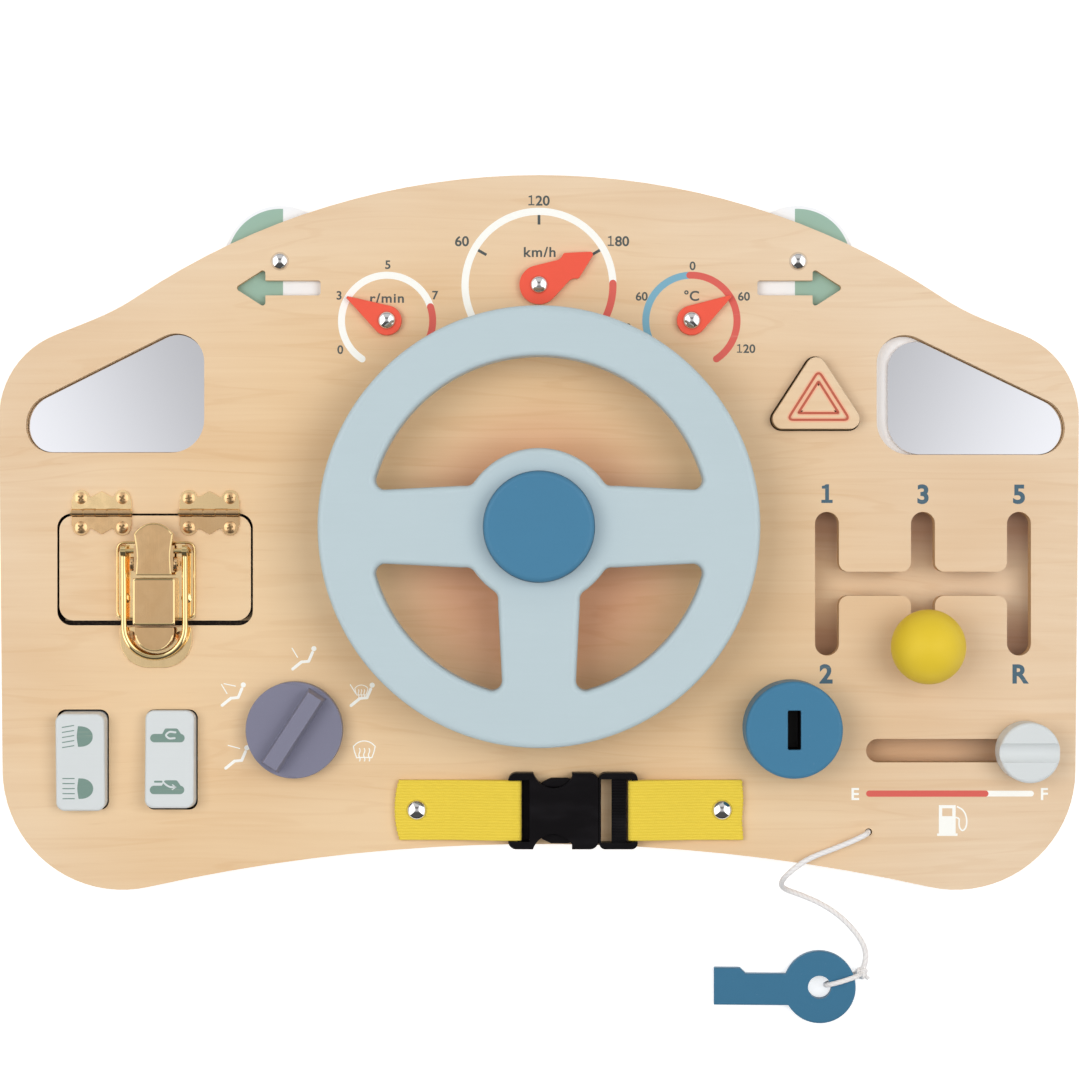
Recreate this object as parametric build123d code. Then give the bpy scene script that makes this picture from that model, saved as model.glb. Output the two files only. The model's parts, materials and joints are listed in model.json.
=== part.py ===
from build123d import *

import os
from math import acos, atan2, cos, degrees, hypot, pi, radians, sin, tan

# ------------------------------------------------------------------
# Wooden busy board shaped like a car dashboard, lying on its back.
# Millimetres. +X to the right along the dashboard, +Y to its crown,
# +Z out of the printed face. The origin is on the back, in the middle.
# ------------------------------------------------------------------

# clearances
FIT = 0.05  # radial, pin or screw in its hole
SLIP = 0.3  # between faces that run past each other
EASE = 0.6  # visible gap round a moving button or knob

# panels
BACK_T = 4.0
CORE_T = 9.0
FRONT_T = 8.0
POCKET_DEPTH = 5.0
BACK = 0.0
CORE = BACK + BACK_T
FRONT = CORE + CORE_T
FACE = FRONT + FRONT_T
POCKET = FRONT - POCKET_DEPTH

# outline of the board
BOARD_WIDTH = 450.4
CROWN_Y = 148.75
NECK = (175.4, 92.6)
SHOULDER_Y = 72.7
FOOT = (222.9, -164.0)
BELLY_Y = -130.0
NECK_R = 100.0
SHOULDER_R = 37.0
FOOT_R = 50.0

# screws that hold the three panels together, from the back
PANEL_SCREW_INSET = 10.2
PANEL_SCREW_SIDE = BOARD_WIDTH / 2 - PANEL_SCREW_INSET
PANEL_SCREWS = [
    (55.0, 130.0),
    (150.0, 97.0),
    (PANEL_SCREW_SIDE, 15.0),
    (PANEL_SCREW_SIDE, -62.0),
    (196.0, -128.0),
    (95.0, -126.0),
]
PANEL_SCREW_CROSS = (3.8, 0.8, 1.0)
PANEL_SCREW_R = 1.7
PANEL_SCREW_HEAD_R = 3.5
PANEL_SCREW_BITE = 5.0

# steering wheel and horn
WHEEL_X = 0.0
WHEEL_Y = 2.1
WHEEL_R = 90.0
RIM_R = 69.5
HUB_R = 32.0
SPOKE_HUB = 16.6
SPOKE_RIM = 14.2
SPOKE_CORNER_R = 4.0
WHEEL_T = 15.0
WHEEL_EDGE_R = 2.4
BOSS_H = 18.0
BOSS_R = 26.0
AXLE_R = 4.0
AXLE_HEAD_R = 9.0
AXLE_HEAD_T = 4.0
NUT_FLATS = 13.0
NUT_T = 5.5
WASHER_R = 8.5
WASHER_T = 1.5
HORN_R = 22.5
HORN_H = 15.0
HORN_WALL = 2.5
HORN_LIP = 0.9
HORN_LIP_T = 1.5
HORN_RISE = 10.0
HORN_EDGE_R = 2.2
COUNTERBORE = 9.0
UNDERCUT = 6.0
HORN_SPRING_R = 12.0
HORN_SPRING_WIRE = 1.2
HORN_SPRING_TURNS = 4

# gauges: centre, needle length, heading in degrees, eye radius
NEEDLE_T = 3.0
NEEDLE_LIFT = 0.4
SPEED = (0.0, 102.8, 26.0, 30.5, 8.1)
REV = (-63.3, 88.0, 19.3, 149.7, 6.2)
TEMP = (63.5, 88.0, 19.3, 31.8, 6.2)
NEEDLE_TIP_R = 0.6
SPEED_NECK = (13.2, 4.3)
SPEED_BARB = (15.4, 6.2)
SPEED_HEAD_R = 1.2
GAUGE_SCREW_R = 1.7
GAUGE_DOME_R = 3.5
GAUGE_DOME_H = 2.0
GAUGE_SCREW_BITE = 6.5

# indicator discs
INDICATOR_X = 108.0
INDICATOR_Y = 112.8
DISC_R = 23.7
DISC_T = 4.4
DISC_EASE = 1.0
DISC_CEILING = 17.0
DISC_FLOOR = DISC_CEILING - POCKET_DEPTH
INDICATOR_SCREW_R = 1.9
INDICATOR_DOME_R = 3.6
INDICATOR_BITE = 3.5
ARROW_Y = 101.7
ARROW_TAIL = (91.0, 114.0, 3.1)
ARROW_TIP = 126.9
ARROW_HALF = 8.3
ARROW_R = 1.2

# mirrors
LEFT_WINDOW = [(-213.8, 33.1), (-139.5, 33.1), (-139.5, 90.0), (-213.8, 52.8)]
LEFT_WINDOW_R = [10.8, 13.8, 11.7, 13.0]
RIGHT_WINDOW = [(140.7, 32.2), (219.2, 32.2), (219.2, 51.3), (140.7, 89.0)]
RIGHT_WINDOW_R = [13.8, 10.8, 13.0, 11.7]
RIGHT_MIRROR_EDGE = 145.6
MIRROR_T = 2.0
BACKING_T = 1.0

# hazard button
HAZARD_X = 115.0
HAZARD_Y = 42.7
HAZARD_HALF = 21.7
HAZARD_H = 33.4
HAZARD_R = 4.2
HAZARD_RISE = 6.0
HAZARD_FLANGE = 3.0
HAZARD_FLANGE_T = 1.6
HAZARD_SPRING_R = 4.6
HAZARD_SPRING_WIRE = 0.9
HAZARD_SPRING_TURNS = 3
HAZARD_WELL_R = 6.6
HAZARD_CENTRE_Y = 54.5

# gear lever
GATE_X = [120.0, 160.0, 200.0]
GATE_TOP = 8.4
GATE_BOTTOM = -51.5
GATE_W = 10.0
GATE_R = 4.0
STEM_R = 4.0
STEM_EASE = 0.25
RETAINER_R = 9.0
RETAINER_T = 3.2
BALL_R = 15.4
BALL_RISE = 17.6

# fuel slider
FUEL_X0 = 136.3
FUEL_X1 = 206.7
FUEL_Y = -91.1
FUEL_W = 9.8
FUEL_KNOB_R = 12.5
FUEL_KNOB_H = 14.0
FUEL_GROOVE = 8.0
FUEL_GROOVE_DEPTH = 2.2
FUEL_EDGE_R = 1.5

# ignition lock and climate knob
LOCK = (104.7, -81.3)
LOCK_R = 20.0
LOCK_H = 21.0
LOCK_SLOT = (5.3, 16.0, 12.0)
LOCK_EDGE_R = 1.6
CLIMATE = (-101.5, -82.1)
CLIMATE_R = 20.0
CLIMATE_H = 8.0
GRIP_L = 36.5
GRIP_W = 8.5
GRIP_H = 8.5
GRIP_ANGLE = 57.0
GRIP_TAPER = 1.0
SPINDLE_R = 4.0
SPINDLE_GRIP = 7.0

# rocker switches
ROCKER_X = [-190.0, -153.0]
ROCKER_TILT = [1.0, -1.0]
ROCKER_Y = -94.8
ROCKER_HOLE = (21.6, 41.7)
ROCKER_SIZE = (20.4, 40.5)
ROCKER_RISE = 8.0
ROCKER_ANGLE = 3.5
ROCKER_CORNER_R = 3.6
ROCKER_EDGE_R = 1.2
ROD_R = 1.5
ROD_X0 = -221.5
ROD_X1 = -136.5
ROD_DROP = 4.0

# door and its hinges
DOOR_OPENING = (-200.7, -119.2, -38.9, 7.7)
DOOR_CORNER_R = 6.0
DOOR_GAP = 0.85
DOOR_GAP_LATCH = 2.0
DOOR_LEDGE = 4.5
HINGE_X = [-182.1, -137.2]
HINGE_Y = 8.0
HINGE_L = 25.0
HINGE_REACH = 9.0
HINGE_T = 0.9
HINGE_PIN_R = 0.8
HINGE_KNUCKLE_R = 1.6
HINGE_KNUCKLES = 5
HINGE_SCREW = (8.6, 6.1)
HINGE_LOBE_R = 3.4
HINGE_NOTCH = (4.3, 6.6)
HINGE_SCREW_R = 1.3
HINGE_HEAD_R = 2.5
HINGE_HEAD_H = 0.8
HINGE_BITE = 5.5
HINGE_CROSS = (2.9, 0.6, 0.5)

# toggle latch on the door
LATCH_X = -159.5
LATCH_T = 1.0
LATCH_PIVOT_Y = -13.2
LATCH_PIVOT_H = 6.6
BAIL_PIVOT_Y = -7.9
BASE_HALF = 16.6
BASE_TOP = -3.8
BASE_BOTTOM = -36.4
BASE_CORNERS = [2.0, 2.0, 9.0, 9.0]
BRIDGE_HALF = 8.7
BRIDGE_TOP = -19.2
BRIDGE_BOTTOM = -38.4
BRIDGE_H = 7.6
LEVER_TOP = 3.6
LEVER_TAIL = 4.7
LEVER_FLARE = 8.1
LEVER_WAIST = 7.0
LEVER_T = 1.2
LATCH_PIN_R = 1.0
LUG_T = 1.2
LUG_R = 2.9
BAIL_WIRE_R = 1.1
BAIL_HALF = 12.7
BAIL_BOTTOM = -52.0
BAIL_DIP = 2.6
BAIL_EYE_R = 2.3
BAIL_EYE_HALF = 0.9
CATCH_HALF = 15.0
CATCH_TOP = -39.6
CATCH_NECK = (3.5, 1.5)
CATCH_BOTTOM = -56.5
TONGUE_HALF = 8.2
TONGUE_BOTTOM = -49.5
TONGUE_H = 5.6
CATCH_SCREW = (10.6, -43.6)
BASE_RIVET = (12.7, -27.5)
BASE_RIVET_R = 2.2

# straps and buckle
STRAP_Y = -115.6
STRAP_W = 25.0
STRAP_T = 1.4
STRAP_LEFT_END = -60.0
STRAP_RIGHT_END = 84.9
STRAP_SPLIT = 24.0
STRAP_RAMP = 3.0
RIVET_LEFT = -50.8
RIVET_RIGHT = 76.1
RIVET_R = 4.15
RIVET_DOME_H = 2.4
RIVET_SHANK_R = 2.0
RIVET_TAIL_R = 4.0
RIVET_TAIL_T = 1.5
BUCKLE_HALF = 15.8
BUCKLE_T = 8.0
BUCKLE_LIFT = 0.3
SOCKET_X0 = -12.8
SOCKET_X1 = 24.6
SOCKET_WAIST = 9.6
SOCKET_NOTCH = (0.5, 13.7)
SOCKET_CORNER_R = 3.5
SOCKET_SLOT = (-7.4, -3.9)
SOCKET_WALL = 2.0
SOCKET_SIDE = 1.8
PLUG_X1 = 40.9
PLUG_RAIL = (21.6, 25.7)
PLUG_LADDER = (30.1, 36.2)
PLUG_BAR = (38.6, 40.9)
PLUG_SIDE = 2.6
PRONG_TIP = 1.0
PRONG_Y = (9.6, 13.2)
PRONG_EAR = 13.6
EAR_RUN = (2.0, 4.0)
TONGUE_GUIDE = (4.0, 4.5)

# key on its cord
KEY_HEAD = (118.5, -191.8)
KEY_HEAD_R = 15.2
KEY_HOLE_R = 4.85
KEY_T = 5.0
KEY_TIP_X = 74.0
KEY_Y = (-199.5, -186.3)
KEY_WARD_Y = -183.9
KEY_WARD_X = 85.0
KEY_RAMP_X = 87.4
KEY_TILT = 2.8
KEY_EDGE_R = 0.7
CORD_R = 1.15
CORD_HOLE = (137.3, -125.0)
CORD_HOLE_R = 1.5
CORD_KNOT_R = 3.1
LOOP_HEADING = 17.4
LOOP_INNER = 2.6
LOOP_OUTER = 17.2
LOOP_LOW = 1.25
LOOP_HIGH = 9.5
LOOP_BEND_R = 3.0
KNOT_REACH = 18.7
KNOT_H = 3.1
CORD_START_Z = 18.0
CORD_ROUTE = [
    (137.3, -125.0, CORD_START_Z),
    (137.3, -125.0, 25.0),
    (130.5, -128.3, 25.2),
    (122.5, -131.9, 22.8),
    (114.8, -134.6, 23.7),
    (109.0, -137.3, 25.5),
    (102.4, -143.0, 23.9),
    (101.2, -147.2, 14.0),
    (103.2, -150.6, 4.6),
    (110.6, -153.4, 1.35),
    (119.8, -157.3, 1.3),
    (128.0, -162.9, 1.3),
    (134.5, -169.8, 1.3),
    (138.2, -176.2, 1.3),
    (138.4, -181.8, 1.6),
    (136.3, -186.2, 3.0),
]


# ------------------------------------------------------------------
# small helpers
# ------------------------------------------------------------------
def plate(sketch, low, high):
    """A sketch drawn on the XY plane, made solid between two heights."""
    return extrude(Pos(0, 0, low) * sketch, high - low)


def disc(x, y, low, high, radius):
    return Pos(x, y, (low + high) / 2) * Cylinder(radius, high - low)


def block(x0, x1, y0, y1, low, high):
    centre = Pos((x0 + x1) / 2, (y0 + y1) / 2, (low + high) / 2)
    return centre * Box(abs(x1 - x0), abs(y1 - y0), abs(high - low))


def rod_x(x0, x1, y, z, radius):
    """A round bar along X."""
    return Pos((x0 + x1) / 2, y, z) * Rot(0, 90, 0) * Cylinder(radius, x1 - x0)


def corner_near(face, point):
    return min(face.vertices(), key=lambda v: hypot(v.X - point[0], v.Y - point[1]))


def rounded_polygon(points, radii):
    """A polygon whose corners are rounded one by one."""
    face = make_face(Polyline(*points, close=True))
    for point, radius in zip(points, radii):
        if radius > 0:
            face = fillet(corner_near(face, point), radius)
    return face


def rounded_box(x0, x1, y0, y1, radius):
    return rounded_polygon([(x0, y0), (x1, y0), (x1, y1), (x0, y1)], [radius] * 4)


def dome(x, y, base, radius, height):
    """A low round screw head: a ball's cap."""
    ball_r = (radius**2 + height**2) / (2 * height)
    ball = Pos(x, y, base + height - ball_r) * Sphere(ball_r)
    return ball & disc(x, y, base, base + height + 1, radius)


def spring(x, y, low, high, radius, wire, turns):
    """A coil spring between two seats, its wire just clear of both."""
    rise = high - low - wire - 2 * FIT
    path = Pos(x, y, low + wire / 2 + FIT) * Helix(rise / turns, rise, radius)
    section = Plane(origin=path @ 0, z_dir=path % 0) * Circle(wire / 2)
    return sweep(section, path)


def cross_recess(x, y, low, high, size):
    """A driver's cross, as two bars between two heights."""
    length, width, _ = size
    cross = Rectangle(length, width) + Rectangle(width, length)
    return Pos(x, y, 0) * Rot(0, 0, 45) * plate(cross, low, high)


def mirrored(points):
    """Points on both sides of the middle of the board."""
    return [(side * x, y) for side in (-1, 1) for x, y in points]


# ------------------------------------------------------------------
# outlines shared by the pieces
# ------------------------------------------------------------------
def board_outline():
    """Crowned top, sloping shoulders, hollow belly."""
    half = BOARD_WIDTH / 2
    crown = ThreePointArc((-NECK[0], NECK[1]), (0, CROWN_Y), NECK)
    belly = ThreePointArc((FOOT[0], FOOT[1]), (0, BELLY_Y), (-FOOT[0], FOOT[1]))
    right = Polyline(NECK, (half, SHOULDER_Y), FOOT)
    left = Polyline((-FOOT[0], FOOT[1]), (-half, SHOULDER_Y), (-NECK[0], NECK[1]))
    face = make_face([crown, right, belly, left])
    for side in (-1, 1):
        face = fillet(corner_near(face, (side * FOOT[0], FOOT[1])), FOOT_R)
        face = fillet(corner_near(face, (side * half, SHOULDER_Y)), SHOULDER_R)
        face = fillet(corner_near(face, (side * NECK[0], NECK[1])), NECK_R)
    return face


def arrow_window(side):
    """The arrow that shows the colour of an indicator disc."""
    near, far, half = ARROW_TAIL
    outline = [
        (near, ARROW_Y - half),
        (far, ARROW_Y - half),
        (far, ARROW_Y - ARROW_HALF),
        (ARROW_TIP, ARROW_Y),
        (far, ARROW_Y + ARROW_HALF),
        (far, ARROW_Y + half),
        (near, ARROW_Y + half),
    ]
    radii = [ARROW_R, 0, ARROW_R, ARROW_R, ARROW_R, 0, ARROW_R]
    return rounded_polygon([(side * x, y) for x, y in outline], radii)


def hazard_outline(grow):
    """A rounded triangle, grown outwards by the given amount."""
    slope = hypot(HAZARD_HALF, HAZARD_H)
    half = HAZARD_HALF + grow * (slope + HAZARD_HALF) / HAZARD_H
    apex = HAZARD_Y + HAZARD_H + grow * slope / HAZARD_HALF
    base = HAZARD_Y - grow
    corners = [(HAZARD_X - half, base), (HAZARD_X + half, base), (HAZARD_X, apex)]
    return rounded_polygon(corners, [HAZARD_R + grow] * 3)


def track(x0, y0, x1, y1, width):
    """A straight slot with round ends, between two end centres."""
    length = hypot(x1 - x0, y1 - y0)
    turn = Rot(0, 0, degrees(atan2(y1 - y0, x1 - x0)))
    return Pos((x0 + x1) / 2, (y0 + y1) / 2, 0) * turn * SlotCenterToCenter(length, width)


def gear_gate(width, corner=0.0):
    """Three upright slots joined by a crossbar."""
    low = GATE_BOTTOM + GATE_W / 2
    high = GATE_TOP - GATE_W / 2
    middle = (low + high) / 2
    gate = track(GATE_X[0], middle, GATE_X[-1], middle, width)
    for x in GATE_X:
        gate += track(x, low, x, high, width)
    if corner > 0:
        inner = [
            v
            for v in gate.vertices()
            if abs(abs(v.Y - middle) - width / 2) < 0.01 and GATE_X[0] < v.X < GATE_X[-1]
        ]
        gate = fillet(inner, corner)
    return gate


def fuel_slot(width):
    return track(FUEL_X0 + FUEL_W / 2, FUEL_Y, FUEL_X1 - FUEL_W / 2, FUEL_Y, width)


def rocker_hole(x, grow=0.0):
    wide = ROCKER_HOLE[0] / 2 + grow
    tall = ROCKER_HOLE[1] / 2 + grow
    return rounded_box(x - wide, x + wide, ROCKER_Y - tall, ROCKER_Y + tall, ROCKER_CORNER_R)


def door_opening():
    x0, x1, y0, y1 = DOOR_OPENING
    return rounded_box(x0, x1, y0, y1, DOOR_CORNER_R)


def door_places(dy):
    """Where the hinge screws go, on the side of the pin that dy points to."""
    return [(x + s * HINGE_SCREW[0], HINGE_Y + dy * HINGE_SCREW[1]) for x in HINGE_X for s in (-1, 1)]


def catch_places():
    return [(LATCH_X + s * CATCH_SCREW[0], CATCH_SCREW[1]) for s in (-1, 1)]


def rivet_places():
    return [(RIVET_LEFT, STRAP_Y), (RIVET_RIGHT, STRAP_Y)]


def gauge_places():
    return [gauge[:2] for gauge in (SPEED, REV, TEMP)]


def indicator_places():
    return [(-INDICATOR_X, INDICATOR_Y), (INDICATOR_X, INDICATOR_Y)]


# ------------------------------------------------------------------
# the three panels
# ------------------------------------------------------------------
def front_panel():
    panel = plate(board_outline(), FRONT, FACE)
    low = FRONT - 1
    high = FACE + 1
    windows = [arrow_window(-1), arrow_window(1)]
    windows += [rounded_polygon(LEFT_WINDOW, LEFT_WINDOW_R)]
    windows += [rounded_polygon(RIGHT_WINDOW, RIGHT_WINDOW_R)]
    windows += [hazard_outline(EASE), gear_gate(GATE_W, GATE_R), fuel_slot(FUEL_W)]
    windows += [rocker_hole(x) for x in ROCKER_X]
    windows += [door_opening()]
    for window in windows:
        panel -= plate(window, low, high)
    panel -= disc(WHEEL_X, WHEEL_Y, low, high, AXLE_R + FIT)
    for x, y in (LOCK, CLIMATE):
        panel -= disc(x, y, low, high, SPINDLE_R + FIT)
    for x, y in indicator_places():
        panel -= disc(x, y, low, high, INDICATOR_SCREW_R + FIT)
        panel -= disc(x, y, low, DISC_CEILING, DISC_R + DISC_EASE)
    for x, y in rivet_places():
        panel -= disc(x, y, low, high, RIVET_SHANK_R + FIT)
    panel -= disc(*CORD_HOLE, low, high, CORD_HOLE_R)
    for x, y in gauge_places():
        panel -= disc(x, y, FACE - GAUGE_SCREW_BITE - SLIP, high, GAUGE_SCREW_R + FIT)
    for x, y in door_places(1) + catch_places():
        panel -= disc(x, y, FACE - HINGE_BITE - SLIP, high, HINGE_SCREW_R + FIT)
    for x, y in mirrored(PANEL_SCREWS):
        panel -= disc(x, y, low, FRONT + PANEL_SCREW_BITE + SLIP, PANEL_SCREW_R + FIT)
    panel -= rod_x(-BOARD_WIDTH, ROD_X1 + SLIP, ROCKER_Y, FACE - ROD_DROP, ROD_R + FIT)
    return panel


def core_panel():
    """The middle panel, with pockets for what moves behind the face."""
    panel = plate(board_outline(), CORE, FRONT)
    low = CORE - 1
    high = FRONT + 1
    for x, y in indicator_places():
        panel -= disc(x, y, DISC_FLOOR, high, DISC_R + DISC_EASE)
        panel -= disc(x, y, POCKET - INDICATOR_BITE - SLIP, high, INDICATOR_SCREW_R + FIT)
    panel -= disc(WHEEL_X, WHEEL_Y, FRONT - AXLE_HEAD_T - SLIP, high, AXLE_HEAD_R + EASE)
    for x, y in (LOCK, CLIMATE):
        panel -= disc(x, y, POCKET, high, RETAINER_R + EASE)
    for x, y in rivet_places():
        panel -= disc(x, y, FRONT - RIVET_TAIL_T - SLIP, high, RIVET_TAIL_R + SLIP)
    reach = RETAINER_R + EASE - STEM_R
    panel -= plate(gear_gate(GATE_W + 2 * reach), POCKET, high)
    panel -= plate(fuel_slot(FUEL_W + 2 * reach), POCKET, high)
    panel -= plate(hazard_outline(HAZARD_FLANGE + EASE), POCKET - SLIP, high)
    panel -= disc(HAZARD_X, HAZARD_CENTRE_Y, low, high, HAZARD_WELL_R)
    panel -= disc(*CORD_HOLE, low, high, CORD_KNOT_R + EASE)
    for x in ROCKER_X:
        panel -= plate(rocker_hole(x, DOOR_GAP), low, high)
    panel -= plate(compartment(), low, high)
    for x, y in mirrored(PANEL_SCREWS):
        panel -= disc(x, y, low, high, PANEL_SCREW_R + FIT)
    return panel


def compartment():
    """The space behind the door, a ledge smaller than its opening."""
    x0, x1, y0, y1 = DOOR_OPENING
    return rounded_box(x0 + DOOR_LEDGE, x1 - DOOR_LEDGE, y0 + DOOR_LEDGE, y1 - DOOR_LEDGE, DOOR_CORNER_R)


def back_panel():
    panel = plate(board_outline(), BACK, CORE)
    for x, y in mirrored(PANEL_SCREWS):
        panel -= panel_screw(x, y, FIT)
    return panel


def panel_screw(x, y, grow=0.0):
    """Countersunk wood screw, its head flush with the back."""
    top = FRONT + PANEL_SCREW_BITE
    head_h = PANEL_SCREW_HEAD_R - PANEL_SCREW_R
    head = Pos(x, y, BACK + head_h / 2) * Cone(PANEL_SCREW_HEAD_R + grow, PANEL_SCREW_R + grow, head_h)
    return head + disc(x, y, BACK, top, PANEL_SCREW_R + grow)


def panel_screws():
    depth = PANEL_SCREW_CROSS[2]
    places = mirrored(PANEL_SCREWS)
    return [panel_screw(x, y) - cross_recess(x, y, BACK, BACK + depth, PANEL_SCREW_CROSS) for x, y in places]


# ------------------------------------------------------------------
# steering wheel, its axle and the horn
# ------------------------------------------------------------------
def wheel_low():
    return FACE + BOSS_H


def wheel_high():
    return wheel_low() + WHEEL_T


def wheel_outline():
    """Rim, hub and three spokes that taper towards the rim."""
    ring = Circle(WHEEL_R) - Circle(RIM_R)
    spokes = Circle(HUB_R)
    for heading in (0, 180, 270):
        reach = RIM_R + (WHEEL_R - RIM_R) / 2
        spoke = make_face(
            Polyline((0, -SPOKE_HUB), (HUB_R, -SPOKE_HUB), (reach, -SPOKE_RIM), (reach, SPOKE_RIM),
                     (HUB_R, SPOKE_HUB), (0, SPOKE_HUB), close=True)
        )
        spokes += Rot(0, 0, heading) * spoke
    outline = ring + spokes
    reach = SPOKE_CORNER_R
    near_rim = [v for v in outline.vertices() if RIM_R - reach < hypot(v.X, v.Y) < RIM_R + reach]
    outline = fillet(near_rim, SPOKE_CORNER_R)
    reach = 1.5 * SPOKE_CORNER_R
    near_hub = [v for v in outline.vertices() if HUB_R - reach < hypot(v.X, v.Y) < HUB_R + reach]
    outline = fillet(near_hub, SPOKE_CORNER_R)
    return Pos(WHEEL_X, WHEEL_Y, 0) * outline


def steering_wheel():
    wheel = plate(wheel_outline(), wheel_low(), wheel_high())
    flat = wheel.faces().sort_by(Axis.Z)
    wheel = fillet(flat[-1].edges() + flat[0].edges(), WHEEL_EDGE_R)
    floor = wheel_high() - COUNTERBORE
    wheel -= disc(WHEEL_X, WHEEL_Y, wheel_low() - 1, wheel_high() + 1, AXLE_R + FIT)
    wheel -= disc(WHEEL_X, WHEEL_Y, floor, wheel_high() + 1, HORN_R + SLIP)
    wheel -= disc(WHEEL_X, WHEEL_Y, floor, floor + UNDERCUT, HORN_R + HORN_LIP + SLIP)
    return wheel


def steering_boss():
    """Fixed spacer that holds the wheel off the face."""
    ring = disc(WHEEL_X, WHEEL_Y, FACE, wheel_low() - SLIP, BOSS_R)
    return ring - disc(WHEEL_X, WHEEL_Y, FACE - 1, wheel_low(), AXLE_R + FIT)


def axle_top():
    return wheel_high() - COUNTERBORE + SLIP + WASHER_T + NUT_T


def steering_axle():
    shank = disc(WHEEL_X, WHEEL_Y, FRONT, axle_top(), AXLE_R)
    return shank + disc(WHEEL_X, WHEEL_Y, FRONT - AXLE_HEAD_T, FRONT, AXLE_HEAD_R)


def steering_washer():
    floor = wheel_high() - COUNTERBORE + SLIP
    washer = disc(WHEEL_X, WHEEL_Y, floor, floor + WASHER_T, WASHER_R)
    return washer - disc(WHEEL_X, WHEEL_Y, floor - 1, floor + WASHER_T + 1, AXLE_R + FIT)


def steering_nut():
    low = wheel_high() - COUNTERBORE + SLIP + WASHER_T
    hexagon = Pos(WHEEL_X, WHEEL_Y, 0) * RegularPolygon(NUT_FLATS / 2, 6, major_radius=False)
    nut = plate(hexagon, low, low + NUT_T)
    return nut - disc(WHEEL_X, WHEEL_Y, low - 1, low + NUT_T + 1, AXLE_R + FIT)


def horn_ceiling():
    return wheel_high() + HORN_RISE - HORN_WALL


def horn_button():
    """A cap whose lip snaps into the undercut of the hub."""
    top = wheel_high() + HORN_RISE
    low = top - HORN_H
    cap = disc(WHEEL_X, WHEEL_Y, low, top, HORN_R)
    cap = fillet(cap.faces().sort_by(Axis.Z)[-1].edges(), HORN_EDGE_R)
    cap += disc(WHEEL_X, WHEEL_Y, low, low + HORN_LIP_T, HORN_R + HORN_LIP)
    return cap - disc(WHEEL_X, WHEEL_Y, low - 1, horn_ceiling(), HORN_R - HORN_WALL)


def horn_spring():
    low = wheel_high() - COUNTERBORE
    return spring(WHEEL_X, WHEEL_Y, low, horn_ceiling(), HORN_SPRING_R, HORN_SPRING_WIRE, HORN_SPRING_TURNS)


# ------------------------------------------------------------------
# gauges and indicators
# ------------------------------------------------------------------
def teardrop(eye_r, tip_r, reach):
    """A circle and a smaller one at the given reach, with the tangents to both."""
    lean = acos((eye_r - tip_r) / reach)
    upper = [(eye_r * cos(lean), eye_r * sin(lean)), (reach + tip_r * cos(lean), tip_r * sin(lean))]
    lower = [(x, -y) for x, y in reversed(upper)]
    drop = Circle(eye_r) + make_face(Polyline(*upper, *lower, close=True))
    return drop + Pos(reach, 0, 0) * Circle(tip_r)


def needle_shape(gauge):
    """The small gauges have plain drops, the speedometer a barbed head."""
    length, eye_r = gauge[2], gauge[4]
    if gauge is not SPEED:
        return teardrop(eye_r, NEEDLE_TIP_R, length - NEEDLE_TIP_R)
    neck, neck_half = SPEED_NECK
    barb, barb_half = SPEED_BARB
    tip = (length + SPEED_HEAD_R, 0)
    head = [(neck, neck_half), (barb, barb_half), tip, (barb, -barb_half), (neck, -neck_half)]
    rounding = [0, SPEED_HEAD_R, SPEED_HEAD_R, SPEED_HEAD_R, 0]
    return teardrop(eye_r, neck_half, neck) + rounded_polygon(head, rounding)


def needle(gauge):
    """A flat pointer, turned to its reading and bored for its screw."""
    x, y, _, heading, _ = gauge
    shape = needle_shape(gauge) - Circle(GAUGE_SCREW_R + FIT)
    low = FACE + NEEDLE_LIFT
    return plate(Pos(x, y, 0) * Rot(0, 0, heading) * shape, low, low + NEEDLE_T)


def gauge_screws():
    seat = FACE + NEEDLE_LIFT + NEEDLE_T + SLIP
    low = FACE - GAUGE_SCREW_BITE
    return [
        disc(x, y, low, seat, GAUGE_SCREW_R) + dome(x, y, seat, GAUGE_DOME_R, GAUGE_DOME_H)
        for x, y in gauge_places()
    ]


def indicator_disc(side):
    x = side * INDICATOR_X
    low = DISC_FLOOR + (POCKET_DEPTH - DISC_T) / 2
    wheel = disc(x, INDICATOR_Y, low, low + DISC_T, DISC_R)
    return wheel - disc(x, INDICATOR_Y, low - 1, low + DISC_T + 1, INDICATOR_SCREW_R + FIT)


def indicator_screws():
    low = POCKET - INDICATOR_BITE
    return [
        disc(x, y, low, FACE, INDICATOR_SCREW_R) + dome(x, y, FACE, INDICATOR_DOME_R, GAUGE_DOME_H)
        for x, y in indicator_places()
    ]


# ------------------------------------------------------------------
# mirrors
# ------------------------------------------------------------------
def shrunk(points, radii, gap):
    """A window's outline, pulled in by a gap."""
    return offset(rounded_polygon(points, radii), -gap)


def pulled_in(points, edge):
    """A window whose upright side moves to another x, its slanted side kept on its line."""
    foot, toe, tip, top = points
    rise = (top[1] - tip[1]) / (top[0] - tip[0])
    return [(edge, foot[1]), toe, tip, (edge, tip[1] + rise * (edge - tip[0]))]


def mirror(points, radii):
    low = FRONT + BACKING_T
    return plate(shrunk(points, radii, SLIP), low, low + MIRROR_T)


def mirror_backings():
    windows = [(LEFT_WINDOW, LEFT_WINDOW_R), (RIGHT_WINDOW, RIGHT_WINDOW_R)]
    return [plate(shrunk(points, radii, SLIP), FRONT, FRONT + BACKING_T) for points, radii in windows]


# ------------------------------------------------------------------
# hazard button
# ------------------------------------------------------------------
def hazard_low():
    return FRONT - SLIP - HAZARD_FLANGE_T


def hazard_button():
    top = FACE + HAZARD_RISE
    button = plate(hazard_outline(0), hazard_low(), top)
    return button + plate(hazard_outline(HAZARD_FLANGE), hazard_low(), FRONT - SLIP)


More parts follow.
